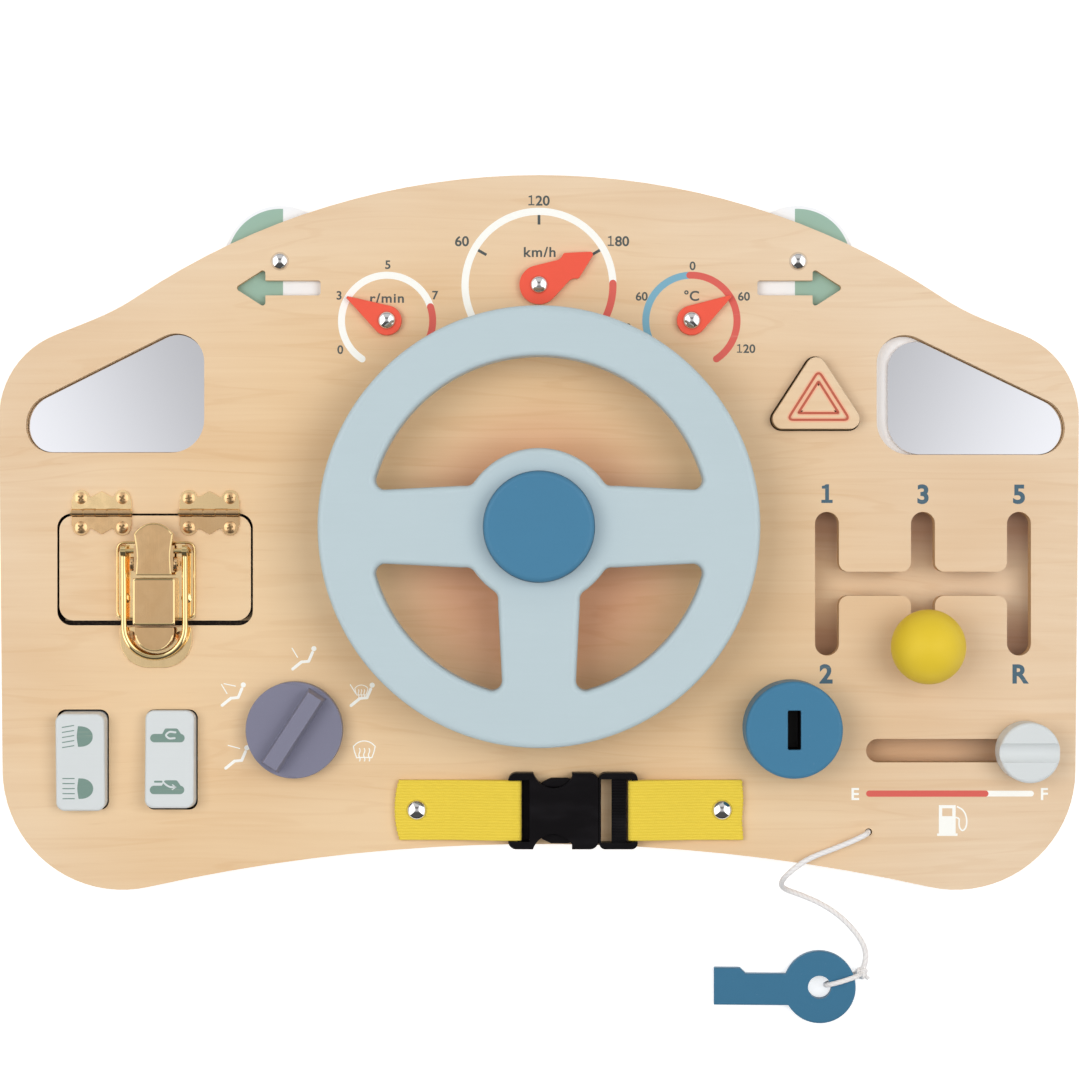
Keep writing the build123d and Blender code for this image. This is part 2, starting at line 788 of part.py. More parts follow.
def hazard_spring():
    return spring(HAZARD_X, HAZARD_CENTRE_Y, CORE, hazard_low(), HAZARD_SPRING_R, HAZARD_SPRING_WIRE,
                  HAZARD_SPRING_TURNS)


# ------------------------------------------------------------------
# gear lever and fuel slider
# ------------------------------------------------------------------
def gear_rest():
    return GATE_X[1], GATE_BOTTOM + STEM_R + STEM_EASE


def retainer(x, y):
    high = FRONT - SLIP
    ring = disc(x, y, high - RETAINER_T, high, RETAINER_R)
    return ring - disc(x, y, POCKET, FRONT, STEM_R + FIT)


def gear_ball():
    x, y = gear_rest()
    centre = FACE + BALL_RISE
    ball = Pos(x, y, centre) * Sphere(BALL_R)
    return ball - disc(x, y, FACE, centre + STEM_R + SLIP, STEM_R + FIT)


def gear_stem():
    x, y = gear_rest()
    return disc(x, y, FRONT - SLIP - RETAINER_T, FACE + BALL_RISE + STEM_R, STEM_R)


def fuel_rest():
    return FUEL_X1 - STEM_R - STEM_EASE, FUEL_Y


def fuel_knob():
    x, y = fuel_rest()
    low = FACE + EASE
    high = low + FUEL_KNOB_H
    knob = disc(x, y, low, high, FUEL_KNOB_R)
    knob = fillet(knob.faces().sort_by(Axis.Z)[-1].edges(), FUEL_EDGE_R)
    scoop_r = ((FUEL_GROOVE / 2) ** 2 + FUEL_GROOVE_DEPTH**2) / (2 * FUEL_GROOVE_DEPTH)
    reach = FUEL_KNOB_R + 1
    knob -= rod_x(x - reach, x + reach, y, high - FUEL_GROOVE_DEPTH + scoop_r, scoop_r)
    return knob - disc(x, y, low - 1, low + FUEL_KNOB_H / 2 + SLIP, STEM_R + FIT)


def fuel_stem():
    x, y = fuel_rest()
    return disc(x, y, FRONT - SLIP - RETAINER_T, FACE + EASE + FUEL_KNOB_H / 2, STEM_R)


# ------------------------------------------------------------------
# turning knobs on spindles
# ------------------------------------------------------------------
def spindle(place):
    """Headed pin from behind the face, fixed in its knob."""
    x, y = place
    high = FRONT - SLIP
    pin = disc(x, y, high - RETAINER_T, high, RETAINER_R)
    return pin + disc(x, y, high, FACE + SPINDLE_GRIP, SPINDLE_R)


def knob_bore(place):
    x, y = place
    return disc(x, y, FACE - 1, FACE + SPINDLE_GRIP + SLIP, SPINDLE_R + FIT)


def ignition_lock():
    x, y = LOCK
    low = FACE + EASE
    high = FACE + LOCK_H
    lock = disc(x, y, low, high, LOCK_R)
    lock = fillet(lock.faces().sort_by(Axis.Z)[-1].edges(), LOCK_EDGE_R)
    wide, tall, deep = LOCK_SLOT
    lock -= block(x - wide / 2, x + wide / 2, y - tall / 2, y + tall / 2, high - deep, high + 1)
    return lock - knob_bore(LOCK)


def climate_knob():
    x, y = CLIMATE
    low = FACE + EASE
    high = FACE + CLIMATE_H
    knob = disc(x, y, low, high, CLIMATE_R)
    foot = Rectangle(GRIP_L, GRIP_W)
    crest = Rectangle(GRIP_L - 2 * GRIP_TAPER, GRIP_W - 2 * GRIP_TAPER)
    grip = loft([foot, Pos(0, 0, GRIP_H) * crest])
    knob += Pos(x, y, high) * Rot(0, 0, GRIP_ANGLE) * grip
    return knob - knob_bore(CLIMATE)


# ------------------------------------------------------------------
# rocker switches
# ------------------------------------------------------------------
def rocker(x, tilt):
    """A block on the rod, resting with one end down."""
    wide, tall = ROCKER_SIZE
    pivot = FACE - ROD_DROP
    high = FACE + ROCKER_RISE
    tip = tall / 2 * sin(radians(ROCKER_ANGLE))
    low = CORE + tip + EASE
    top = rounded_box(x - wide / 2, x + wide / 2, ROCKER_Y - tall / 2, ROCKER_Y + tall / 2, ROCKER_CORNER_R)
    body = plate(top, low, high)
    body = fillet(body.faces().sort_by(Axis.Z)[-1].edges(), ROCKER_EDGE_R)
    body -= rod_x(x - wide, x + wide, ROCKER_Y, pivot, ROD_R + FIT)
    axis = Axis((x, ROCKER_Y, pivot), (1, 0, 0))
    return body.rotate(axis, tilt * ROCKER_ANGLE)


def rocker_rod():
    return rod_x(ROD_X0, ROD_X1, ROCKER_Y, FACE - ROD_DROP, ROD_R)


# ------------------------------------------------------------------
# door and hinges
# ------------------------------------------------------------------
def hinge_z():
    return FACE + HINGE_KNUCKLE_R + 2 * FIT


def door():
    x0, x1, y0, y1 = DOOR_OPENING
    low = FRONT + SLIP
    face = rounded_box(x0 + DOOR_GAP, x1 - DOOR_GAP, y0 + DOOR_GAP_LATCH, y1 - DOOR_GAP, DOOR_CORNER_R)
    panel = plate(face, low, FACE)
    for x, y in door_places(-1):
        panel -= disc(x, y, FACE - HINGE_BITE - SLIP, FACE + 1, HINGE_SCREW_R + FIT)
    for side in (-1, 1):
        x = LATCH_X + side * BASE_RIVET[0]
        panel -= disc(x, BASE_RIVET[1], low - 1, FACE + 1, HINGE_SCREW_R + FIT)
    return panel


def knuckle_spans():
    """The X spans of one hinge's knuckles, about its middle."""
    step = HINGE_L / HINGE_KNUCKLES
    gap = SLIP / 2
    starts = [n * step - HINGE_L / 2 for n in range(HINGE_KNUCKLES)]
    return [(start + gap, start + step - gap) for start in starts]


def hinge_leaf(x, side):
    """One butterfly leaf: side 1 lies on the frame, side -1 on the door."""
    half = HINGE_L / 2
    lobe_x, lobe_y = HINGE_SCREW
    notch_x, notch_y = HINGE_NOTCH
    edge = [(half, 0), (half, lobe_y - 1), (lobe_x + HINGE_LOBE_R - 1, lobe_y + 1), (lobe_x, lobe_y + 2)]
    edge += [(notch_x, notch_y), (0, HINGE_REACH)]
    outline = edge + [(-u, v) for u, v in reversed(edge[:-1])]
    shape = make_face(Polyline(*outline, close=True))
    for s in (-1, 1):
        shape += Pos(s * lobe_x, lobe_y, 0) * Circle(HINGE_LOBE_R)
    leaf = plate(shape, 0, HINGE_T)
    first = 0 if side > 0 else 1
    for number, (x0, x1) in enumerate(knuckle_spans()):
        z = hinge_z() - FACE
        if number % 2 == first:
            leaf += rod_x(x0, x1, 0, z, HINGE_KNUCKLE_R)
        else:
            leaf -= rod_x(x0 - SLIP, x1 + SLIP, 0, z, HINGE_KNUCKLE_R + SLIP)
    leaf -= rod_x(-half - 1, half + 1, 0, hinge_z() - FACE, HINGE_PIN_R + FIT)
    for s in (-1, 1):
        leaf -= disc(s * lobe_x, lobe_y, -1, HINGE_T + 1, HINGE_SCREW_R + FIT)
    if side < 0:
        leaf = leaf.mirror(Plane.XZ)
    return Pos(x, HINGE_Y, FACE) * leaf


def hinge_leaves(side):
    return [hinge_leaf(x, side) for x in HINGE_X]


def hinge_pins():
    half = HINGE_L / 2 + SLIP
    return [rod_x(x - half, x + half, HINGE_Y, hinge_z(), HINGE_PIN_R) for x in HINGE_X]


def pan_screw(x, y, seat):
    """Small pan-head screw standing on the given seat."""
    screw = disc(x, y, FACE - HINGE_BITE, seat, HINGE_SCREW_R)
    screw += dome(x, y, seat, HINGE_HEAD_R, HINGE_HEAD_H)
    top = seat + HINGE_HEAD_H
    return screw - cross_recess(x, y, top - HINGE_CROSS[2], top, HINGE_CROSS)


def pan_screws(places, seat):
    return [pan_screw(x, y, seat) for x, y in places]


# ------------------------------------------------------------------
# toggle latch
# ------------------------------------------------------------------
def latch_z():
    return FACE + LATCH_PIVOT_H


def latch_base():
    """Flanged plate with a raised bridge and two lugs for the lever."""
    outline = rounded_polygon(
        [(-BASE_HALF, BASE_BOTTOM), (BASE_HALF, BASE_BOTTOM), (BASE_HALF, BASE_TOP), (-BASE_HALF, BASE_TOP)],
        BASE_CORNERS,
    )
    base = plate(outline, 0, LATCH_T)
    base += block(-BRIDGE_HALF, BRIDGE_HALF, BRIDGE_BOTTOM, BRIDGE_TOP, 0, BRIDGE_H)
    base -= block(-BRIDGE_HALF + LATCH_T, BRIDGE_HALF - LATCH_T, BRIDGE_BOTTOM - 1, BRIDGE_TOP - LATCH_T,
                  LATCH_T, BRIDGE_H - LATCH_T)
    x = lug_inner()
    for side in (-1, 1):
        lug = rod_x(x, x + LUG_T, LATCH_PIVOT_Y, LATCH_PIVOT_H, LUG_R)
        lug += block(x, x + LUG_T, LATCH_PIVOT_Y - LUG_R, LATCH_PIVOT_Y + LUG_R, 0, LATCH_PIVOT_H)
        base += lug if side > 0 else lug.mirror(Plane.YZ)
    reach = x + 2 * LUG_T
    base -= rod_x(-reach, reach, LATCH_PIVOT_Y, LATCH_PIVOT_H, LATCH_PIN_R + FIT)
    for side in (-1, 1):
        base -= disc(side * BASE_RIVET[0], BASE_RIVET[1], -1, LATCH_T + 1, HINGE_SCREW_R + FIT)
    return Pos(LATCH_X, 0, FACE) * base


def cheek_outer():
    return LEVER_WAIST + LUG_T


def lug_inner():
    return cheek_outer() + SLIP


def latch_rivets():
    seat = FACE + LATCH_T
    rivets = []
    for side in (-1, 1):
        x = LATCH_X + side * BASE_RIVET[0]
        shank = disc(x, BASE_RIVET[1], FRONT + SLIP, seat, HINGE_SCREW_R)
        rivets.append(shank + dome(x, BASE_RIVET[1], seat, BASE_RIVET_R, HINGE_HEAD_H))
    return rivets


def latch_lever_pin():
    half = lug_inner() + LUG_T + SLIP
    return rod_x(LATCH_X - half, LATCH_X + half, LATCH_PIVOT_Y, latch_z(), LATCH_PIN_R)


def latch_lever():
    """Flared finger plate on two cheeks that turn on the lever pin."""
    tail = LATCH_PIVOT_Y - LEVER_TAIL
    shoulder = LEVER_TOP - LEVER_FLARE / 2
    waist = (tail + shoulder) / 2
    left = Spline((-LEVER_WAIST - 0.3, tail), (-LEVER_WAIST, waist), (-LEVER_FLARE, shoulder))
    right = Spline((LEVER_FLARE, shoulder), (LEVER_WAIST, waist), (LEVER_WAIST + 0.3, tail))
    crown = ThreePointArc((-LEVER_FLARE, shoulder), (0, LEVER_TOP), (LEVER_FLARE, shoulder))
    foot = Line((LEVER_WAIST + 0.3, tail), (-LEVER_WAIST - 0.3, tail))
    low = LATCH_PIVOT_H + LATCH_PIN_R + FIT
    lever = plate(make_face([left, crown, right, foot]), low, low + LEVER_T)
    rear = LATCH_PIVOT_Y - LEVER_TAIL + LUG_T
    front = BAIL_PIVOT_Y + BAIL_EYE_R
    drop = LATCH_PIVOT_H - LATCH_PIN_R - LUG_T
    for side in (-1, 1):
        x0 = side * LEVER_WAIST
        x1 = side * cheek_outer()
        lever += block(x0, x1, rear, front, drop, low + LEVER_T)
    reach = cheek_outer() + 1
    for y in (LATCH_PIVOT_Y, BAIL_PIVOT_Y):
        lever -= rod_x(-reach, reach, y, LATCH_PIVOT_H, LATCH_PIN_R + FIT)
    return Pos(LATCH_X, 0, FACE) * lever


def bail_pin():
    half = BAIL_HALF + BAIL_WIRE_R + SLIP
    return rod_x(LATCH_X - half, LATCH_X + half, BAIL_PIVOT_Y, latch_z(), LATCH_PIN_R)


def latch_bail():
    """U-shaped wire with an eye at each end, dipping towards the catch."""
    corners = [(-BAIL_HALF, BAIL_PIVOT_Y), (-BAIL_HALF, BAIL_BOTTOM), (BAIL_HALF, BAIL_BOTTOM)]
    corners.append((BAIL_HALF, BAIL_PIVOT_Y))
    path = FilletPolyline(*corners, radius=BAIL_HALF - FIT)
    bail = sweep(Plane(origin=path @ 0, z_dir=path % 0) * Circle(BAIL_WIRE_R), path)
    for side in (-1, 1):
        x = side * BAIL_HALF
        bail += rod_x(x - BAIL_EYE_HALF, x + BAIL_EYE_HALF, BAIL_PIVOT_Y, 0, BAIL_EYE_R)
    reach = BAIL_HALF + 2 * BAIL_WIRE_R
    bail -= rod_x(-reach, reach, BAIL_PIVOT_Y, 0, LATCH_PIN_R + FIT)
    bail = bail.rotate(Axis((0, BAIL_PIVOT_Y, 0), (1, 0, 0)), BAIL_DIP)
    return Pos(LATCH_X, 0, latch_z()) * bail


def latch_catch():
    """Plate with a stand-up tongue that the bail hooks under."""
    corner = CATCH_HALF * 0.8
    outline = rounded_polygon(
        [
            (-CATCH_HALF, CATCH_BOTTOM),
            (CATCH_HALF, CATCH_BOTTOM),
            (CATCH_HALF, CATCH_TOP),
            (-CATCH_HALF, CATCH_TOP),
        ],
        [corner, corner, 1.0, 1.0],
    )
    catch = plate(outline, 0, LATCH_T)
    tongue_r = TONGUE_HALF
    lip = plate(Pos(0, TONGUE_BOTTOM + tongue_r, 0) * Circle(tongue_r), TONGUE_H, TONGUE_H + LATCH_T)
    lip = lip & block(-TONGUE_HALF, TONGUE_HALF, TONGUE_BOTTOM - 1, CATCH_TOP, 0, TONGUE_H + 2)
    neck = block(-TONGUE_HALF * 0.7, TONGUE_HALF * 0.7, CATCH_TOP - CATCH_NECK[0], CATCH_TOP - CATCH_NECK[1], LATCH_T, TONGUE_H)
    catch += lip
    catch += neck
    for side in (-1, 1):
        catch -= disc(side * CATCH_SCREW[0], CATCH_SCREW[1], -1, LATCH_T + 1, HINGE_SCREW_R + FIT)
    return Pos(LATCH_X, 0, FACE) * catch


# ------------------------------------------------------------------
# straps and buckle
# ------------------------------------------------------------------
def strap(end, near, far):
    """Webbing from a free end over a buckle bar, round its far side and back under."""
    out = 1 if far > near else -1
    bar_low, bar_high = buckle_bar_heights()
    gap = SLIP / 2
    leave = near - out * SLIP
    turn = far + out * SLIP
    start = near - out * STRAP_SPLIT
    inner = [
        (start, FACE + STRAP_T), (leave - out * STRAP_RAMP, FACE + STRAP_T), (leave, bar_low - gap),
        (turn - out * gap, bar_low - gap), (turn, bar_low + gap), (turn, bar_high - gap),
        (turn - out * gap, bar_high + gap), (leave, bar_high + gap),
    ]
    edge = turn + out * STRAP_T
    outer = [
        (end, FACE), (leave - out * STRAP_RAMP, FACE), (leave, bar_low - gap - STRAP_T),
        (turn, bar_low - gap - STRAP_T), (edge, bar_low), (edge, bar_high), (turn, bar_high + gap + STRAP_T),
        (leave, bar_high + gap + STRAP_T), (start, FACE + 2 * STRAP_T), (end, FACE + 2 * STRAP_T),
    ]
    band = make_face(Polyline(*outer, close=True)) - make_face(Polyline(*inner, close=True))
    solid = Pos(0, STRAP_Y, 0) * extrude(Plane.XZ * band, STRAP_W / 2, both=True)
    rivet = RIVET_LEFT if out > 0 else RIVET_RIGHT
    return solid - disc(rivet, STRAP_Y, FACE - 1, FACE + 4 * STRAP_T, RIVET_SHANK_R + FIT)


def strap_rivets():
    """Domed rivets through strap and panel, headed over behind it."""
    seat = FACE + 2 * STRAP_T + FIT
    rivets = []
    for x, y in rivet_places():
        rivet = disc(x, y, FRONT - RIVET_TAIL_T, seat, RIVET_SHANK_R)
        rivet += disc(x, y, FRONT - RIVET_TAIL_T, FRONT, RIVET_TAIL_R)
        rivets.append(rivet + dome(x, y, seat, RIVET_R, RIVET_DOME_H))
    return rivets


def buckle_low():
    return FACE + BUCKLE_LIFT


def buckle_bar_heights():
    """Thickness band of the bars that the webbing wraps round."""
    low = buckle_low() + 2 * STRAP_T
    return low, buckle_low() + BUCKLE_T - 2 * STRAP_T


def buckle_socket():
    """Female half: strap bar, waisted body open at the sides, ring mouth."""
    half = BUCKLE_HALF
    notch0, notch1 = SOCKET_NOTCH
    waist = SOCKET_WAIST
    middle = (notch0 + notch1) / 2
    outline = rounded_box(SOCKET_X0, SOCKET_X1, -half, half, SOCKET_CORNER_R)
    for side in (-1, 1):
        ends = (notch0 - 3.2, side * (half + 1)), (notch1, side * (half - 2))
        arc = ThreePointArc(ends[0], (middle, side * waist), ends[1])
        cut = make_face([arc, Polyline((notch1, side * (half - 2)), (notch1, side * (half + 1)),
                                       (notch0 - 3.2, side * (half + 1)))])
        outline -= cut
    low = buckle_low()
    body = Pos(0, STRAP_Y, 0) * plate(outline, low, low + BUCKLE_T)
    inner = half - SOCKET_SIDE
    cavity_low = low + SOCKET_WALL
    cavity_high = low + BUCKLE_T - SOCKET_WALL
    body -= block(0, SOCKET_X1 + 1, STRAP_Y - inner, STRAP_Y + inner, cavity_low, cavity_high)
    slot0, slot1 = SOCKET_SLOT
    span = STRAP_W / 2 + SLIP
    body -= block(slot0, slot1, STRAP_Y - span, STRAP_Y + span, low - 1, low + BUCKLE_T + 1)
    bar_low, bar_high = buckle_bar_heights()
    for z0, z1 in ((low - 1, bar_low), (bar_high, low + BUCKLE_T + 1)):
        body -= block(SOCKET_X0 - 1, slot1, STRAP_Y - span, STRAP_Y + span, z0, z1)
    return body


def buckle_plug():
    """Male half: rail, ladder bar, strap bar and the middle guide."""
    half = BUCKLE_HALF
    low = buckle_low()
    rail0, rail1 = PLUG_RAIL
    frame = rounded_box(SOCKET_X1 + SLIP, PLUG_X1, -half, half, 2.6)
    body = Pos(0, STRAP_Y, 0) * plate(frame, low, low + BUCKLE_T)
    inner = half - PLUG_SIDE
    body -= block(rail1, PLUG_BAR[0], STRAP_Y - inner, STRAP_Y + inner, low - 1, low + BUCKLE_T + 1)
    prong_low, prong_high = prong_heights()
    mouth = half - SOCKET_SIDE - SLIP
    body += block(rail0, rail1, STRAP_Y - mouth, STRAP_Y + mouth, prong_low, prong_high)
    ladder_low, ladder_high = buckle_bar_heights()
    body += block(*PLUG_LADDER, STRAP_Y - half + 1, STRAP_Y + half - 1, ladder_low, ladder_high)
    span = STRAP_W / 2 + SLIP
    for z0, z1 in ((low - 1, ladder_low), (ladder_high, low + BUCKLE_T + 1)):
        body -= block(PLUG_BAR[0] - 1, PLUG_X1 + 1, STRAP_Y - span, STRAP_Y + span, z0, z1)
    reach, guide = TONGUE_GUIDE
    body += block(reach, rail0 + 1, STRAP_Y - guide, STRAP_Y + guide, prong_low, prong_high)
    for side in (-1, 1):
        x, y = prong_pivot(side)
        body -= disc(x, y, prong_low - 1, prong_high + 1, prong_root_r() + SLIP)
    return body


def prong_heights():
    low = buckle_low() + SOCKET_WALL + SLIP
    return low, buckle_low() + BUCKLE_T - SOCKET_WALL - SLIP


def prong_root_r():
    return (PRONG_Y[1] - PRONG_Y[0]) / 2


def prong_pivot(side):
    return PLUG_RAIL[0] + SLIP, STRAP_Y + side * (PRONG_Y[0] + PRONG_Y[1]) / 2


def prong(side):
    """A spring arm with a thumb ear that shows in the socket's side."""
    x, _ = prong_pivot(side)
    inner, outer = PRONG_Y
    notch1 = SOCKET_NOTCH[1]
    ear = [(notch1, outer), (notch1 - EAR_RUN[0], PRONG_EAR), (PRONG_TIP + EAR_RUN[1], PRONG_EAR)]
    ear = [(x, outer), *ear, (PRONG_TIP, outer - 1.5)]
    shape = make_face(Polyline((x, inner), *ear, (PRONG_TIP, inner), close=True))
    shape += Pos(x, (inner + outer) / 2, 0) * Circle(prong_root_r())
    if side < 0:
        shape = shape.mirror(Plane.XZ)
    low, high = prong_heights()
    return plate(Pos(0, STRAP_Y, 0) * shape, low, high)


# ------------------------------------------------------------------
# key, loop and cord
# ------------------------------------------------------------------
def key():
    """Flat toy key, tilted because its ring lies on the cord's loop."""
    x, y = KEY_HEAD
    low, high = KEY_Y
    blade = [
        (KEY_TIP_X, low),
        (x, low),
        (x, high),
        (KEY_RAMP_X, high),
        (KEY_WARD_X, KEY_WARD_Y),
        (KEY_TIP_X, KEY_WARD_Y),
    ]
    shape = make_face(Polyline(*blade, close=True)) + Pos(x, y, 0) * Circle(KEY_HEAD_R)
    body = plate(shape, 0, KEY_T)
    flat = body.faces().sort_by(Axis.Z)
    body = fillet(flat[-1].edges() + flat[0].edges(), KEY_EDGE_R)
    body -= disc(x, y, -1, KEY_T + 1, KEY_HOLE_R)
    body = body.rotate(Axis((KEY_TIP_X, y, 0), (0, 1, 0)), -KEY_TILT)
    return Pos(0, 0, FIT) * body


def key_loop():
    """Closed loop of cord through the key's hole and round its ring, with its knot."""
    x, y = KEY_HEAD
    plane = Plane(origin=(x, y, 0), x_dir=(cos(radians(LOOP_HEADING)), sin(radians(LOOP_HEADING)), 0),
                  z_dir=(sin(radians(LOOP_HEADING)), -cos(radians(LOOP_HEADING)), 0))
    ring = rounded_box(LOOP_INNER, LOOP_OUTER, LOOP_LOW, LOOP_HIGH, LOOP_BEND_R)
    path = (plane * ring).face().outer_wire()
    loop = sweep(Plane(origin=path @ 0, z_dir=path % 0) * Circle(CORD_R), path)
    return loop + Pos(*knot_centre()) * Sphere(CORD_KNOT_R) - key_cord() - key()


def knot_centre():
    angle = radians(LOOP_HEADING)
    return KEY_HEAD[0] + KNOT_REACH * cos(angle), KEY_HEAD[1] + KNOT_REACH * sin(angle), KNOT_H


def cord_radii(points):
    """Bend radii: 0.45 of the shorter run over the tangent of half the turn."""
    radii = []
    for before, corner, after in zip(points, points[1:], points[2:]):
        first = Vector(*corner) - Vector(*before)
        second = Vector(*after) - Vector(*corner)
        turn = radians(first.get_angle(second))
        radii.append(0.45 * min(first.length, second.length) / tan(turn / 2))
    return radii


def key_cord():
    """The free cord: straight runs joined by tangent arcs."""
    path = FilletPolyline(*CORD_ROUTE, radius=cord_radii(CORD_ROUTE))
    return sweep(Plane(origin=path @ 0, z_dir=path % 0) * Circle(CORD_R), path)


def cord_stop():
    """Knot behind the face, and the cord up to where it runs free."""
    x, y = CORD_HOLE
    centre = CORE + CORD_KNOT_R + SLIP
    return Pos(x, y, centre) * Sphere(CORD_KNOT_R) + disc(x, y, centre, CORD_START_Z, CORD_R)


def report_cord():
    path = FilletPolyline(*CORD_ROUTE, radius=cord_radii(CORD_ROUTE))
    print("cord bend radii:", [round(r, 1) for r in cord_radii(CORD_ROUTE)])
    print("cord length:", round(path.length, 1), "volume over section:",
          round(key_cord().volume / (pi * CORD_R**2), 1))


# ------------------------------------------------------------------
# every piece, by name
# ------------------------------------------------------------------
def pieces():
    leaf_top = FACE + HINGE_T
    gear_x, gear_y = gear_rest()
    fuel_x, fuel_y = fuel_rest()
    return {
        "front_panel": front_panel(),
        "core_panel": core_panel(),
        "back_panel": back_panel(),
        "panel_screws": panel_screws(),
        "steering_boss": steering_boss(),
        "steering_axle": steering_axle(),
        "steering_washer": steering_washer(),
        "steering_nut": steering_nut(),
        "steering_wheel": steering_wheel(),
        "horn_button": horn_button(),
        "horn_spring": horn_spring(),
        "speed_needle": needle(SPEED),
        "rev_needle": needle(REV),
        "temperature_needle": needle(TEMP),
        "gauge_screws": gauge_screws(),
        "left_indicator_disc": indicator_disc(-1),
        "right_indicator_disc": indicator_disc(1),
        "indicator_screws": indicator_screws(),
        "left_mirror": mirror(LEFT_WINDOW, LEFT_WINDOW_R),
        "right_mirror": mirror(pulled_in(RIGHT_WINDOW, RIGHT_MIRROR_EDGE), RIGHT_WINDOW_R),
        "mirror_backings": mirror_backings(),
        "hazard_button": hazard_button(),
        "hazard_spring": hazard_spring(),
        "gear_ball": gear_ball(),
        "gear_stem": gear_stem(),
        "gear_retainer": retainer(gear_x, gear_y),
        "fuel_knob": fuel_knob(),
        "fuel_stem": fuel_stem(),
        "fuel_retainer": retainer(fuel_x, fuel_y),
        "ignition_lock": ignition_lock(),
        "ignition_spindle": spindle(LOCK),
        "climate_knob": climate_knob(),
        "climate_spindle": spindle(CLIMATE),
        "left_rocker": rocker(ROCKER_X[0], ROCKER_TILT[0]),
        "right_rocker": rocker(ROCKER_X[1], ROCKER_TILT[1]),
        "rocker_rod": rocker_rod(),
        "door_panel": door(),
        "hinge_frame_leaves": hinge_leaves(1),
        "hinge_door_leaves": hinge_leaves(-1),
        "hinge_pins": hinge_pins(),
        "frame_screws": pan_screws(door_places(1), leaf_top) + pan_screws(catch_places(), FACE + LATCH_T),
        "hinge_door_screws": pan_screws(door_places(-1), leaf_top),
        "latch_base": latch_base(),
        "latch_rivets": latch_rivets(),
        "latch_lever_pin": latch_lever_pin(),
        "latch_lever": latch_lever(),
        "bail_pin": bail_pin(),
        "latch_bail": latch_bail(),
        "latch_catch": latch_catch(),
        "left_strap": strap(STRAP_LEFT_END, SOCKET_X0, SOCKET_SLOT[0]),
        "right_strap": strap(STRAP_RIGHT_END, PLUG_X1, PLUG_BAR[0]),
        "strap_rivets": strap_rivets(),
        "buckle_socket": buckle_socket(),
        "buckle_plug": buckle_plug(),
        "upper_prong": prong(1),
        "lower_prong": prong(-1),
        "key": key(),
        "key_loop": key_loop(),
        "key_cord": key_cord(),
        "cord_stop_knot": cord_stop(),
    }


def main():
    os.makedirs("parts", exist_ok=True)
    for name, shape in pieces().items():
        solid = Compound(children=shape) if isinstance(shape, list) else shape
        export_step(solid, f"parts/{name}.step")
    report_cord()


main()
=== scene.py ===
"""Dresses the wooden busy board: print, paint, veneer, brass, webbing, cord and studio."""

import json
import math

import bmesh
import bpy
import numpy as np
from bpy.props import FloatProperty, FloatVectorProperty, IntProperty, PointerProperty
from bpy.types import Operator, Panel, PropertyGroup
from mathutils.geometry import tessellate_polygon
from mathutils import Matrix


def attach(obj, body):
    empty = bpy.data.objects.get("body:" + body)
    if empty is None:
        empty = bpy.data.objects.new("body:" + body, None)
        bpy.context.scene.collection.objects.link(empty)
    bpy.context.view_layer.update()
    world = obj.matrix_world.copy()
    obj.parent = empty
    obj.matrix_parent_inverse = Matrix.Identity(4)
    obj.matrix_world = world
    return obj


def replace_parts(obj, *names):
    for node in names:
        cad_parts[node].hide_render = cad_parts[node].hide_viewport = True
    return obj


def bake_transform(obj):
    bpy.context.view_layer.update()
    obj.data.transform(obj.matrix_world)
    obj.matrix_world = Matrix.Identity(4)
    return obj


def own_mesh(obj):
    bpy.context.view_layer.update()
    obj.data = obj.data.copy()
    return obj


bl_info = {
    "name": "Busy board dresser",
    "version": (1, 0, 0),
    "blender": (4, 5, 0),
    "location": "View3D > Sidebar > Board",
    "description": "Finishes and printed marks for a wooden busy board shaped like a dashboard",
    "category": "Object",
}

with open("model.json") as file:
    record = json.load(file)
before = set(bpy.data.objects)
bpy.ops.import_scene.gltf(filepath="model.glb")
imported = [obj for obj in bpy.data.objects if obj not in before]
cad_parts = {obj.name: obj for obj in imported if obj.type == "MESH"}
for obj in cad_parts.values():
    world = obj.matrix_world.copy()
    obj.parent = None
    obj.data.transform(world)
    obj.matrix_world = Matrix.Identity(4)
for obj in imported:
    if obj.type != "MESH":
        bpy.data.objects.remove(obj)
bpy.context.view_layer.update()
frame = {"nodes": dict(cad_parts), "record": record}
NODES = frame["nodes"]

MM = 0.001
FACE = 0.021  # height of the printed face
INK = 0.00004  # thickness of a printed mark
HAZARD_TOP = 0.027  # height of the warning button's face
BOSS_TOP, CORE_TOP, BACK_TOP = 0.039, 0.0134, 0.0045  # heights of the other wooden faces
INDICATOR_X, INDICATOR_Y = 0.108, 0.1128  # centre of the right signal disc
LIFT = 0.00001  # keeps a mark that crosses another off its height
LAYER = 0.000003  # the same, for the thin lines of a symbol
WHITE = (1.0, 1.0, 1.0)


# ------------------------------------------------------------------
# values that a user would change
# ------------------------------------------------------------------
def linear(red, green, blue):
    """Screen colour from 0 to 255 to light: ((c + 0.055) / 1.055) to the power 2.4."""
    screen = np.array([red, green, blue]) / 255.0
    light = np.where(screen <= 0.04045, screen / 12.92, ((screen + 0.055) / 1.055) ** 2.4)
    return tuple(float(value) for value in light)


def tint(name, rgb, text):
    return FloatVectorProperty(
        name=name, description=text, subtype="COLOR", size=3, min=0.0, max=1.0, default=linear(*rgb)
    )


def length(name, mm, text):
    return FloatProperty(
        name=name, description=text, subtype="DISTANCE", unit="LENGTH", min=0.0, default=mm * MM
    )


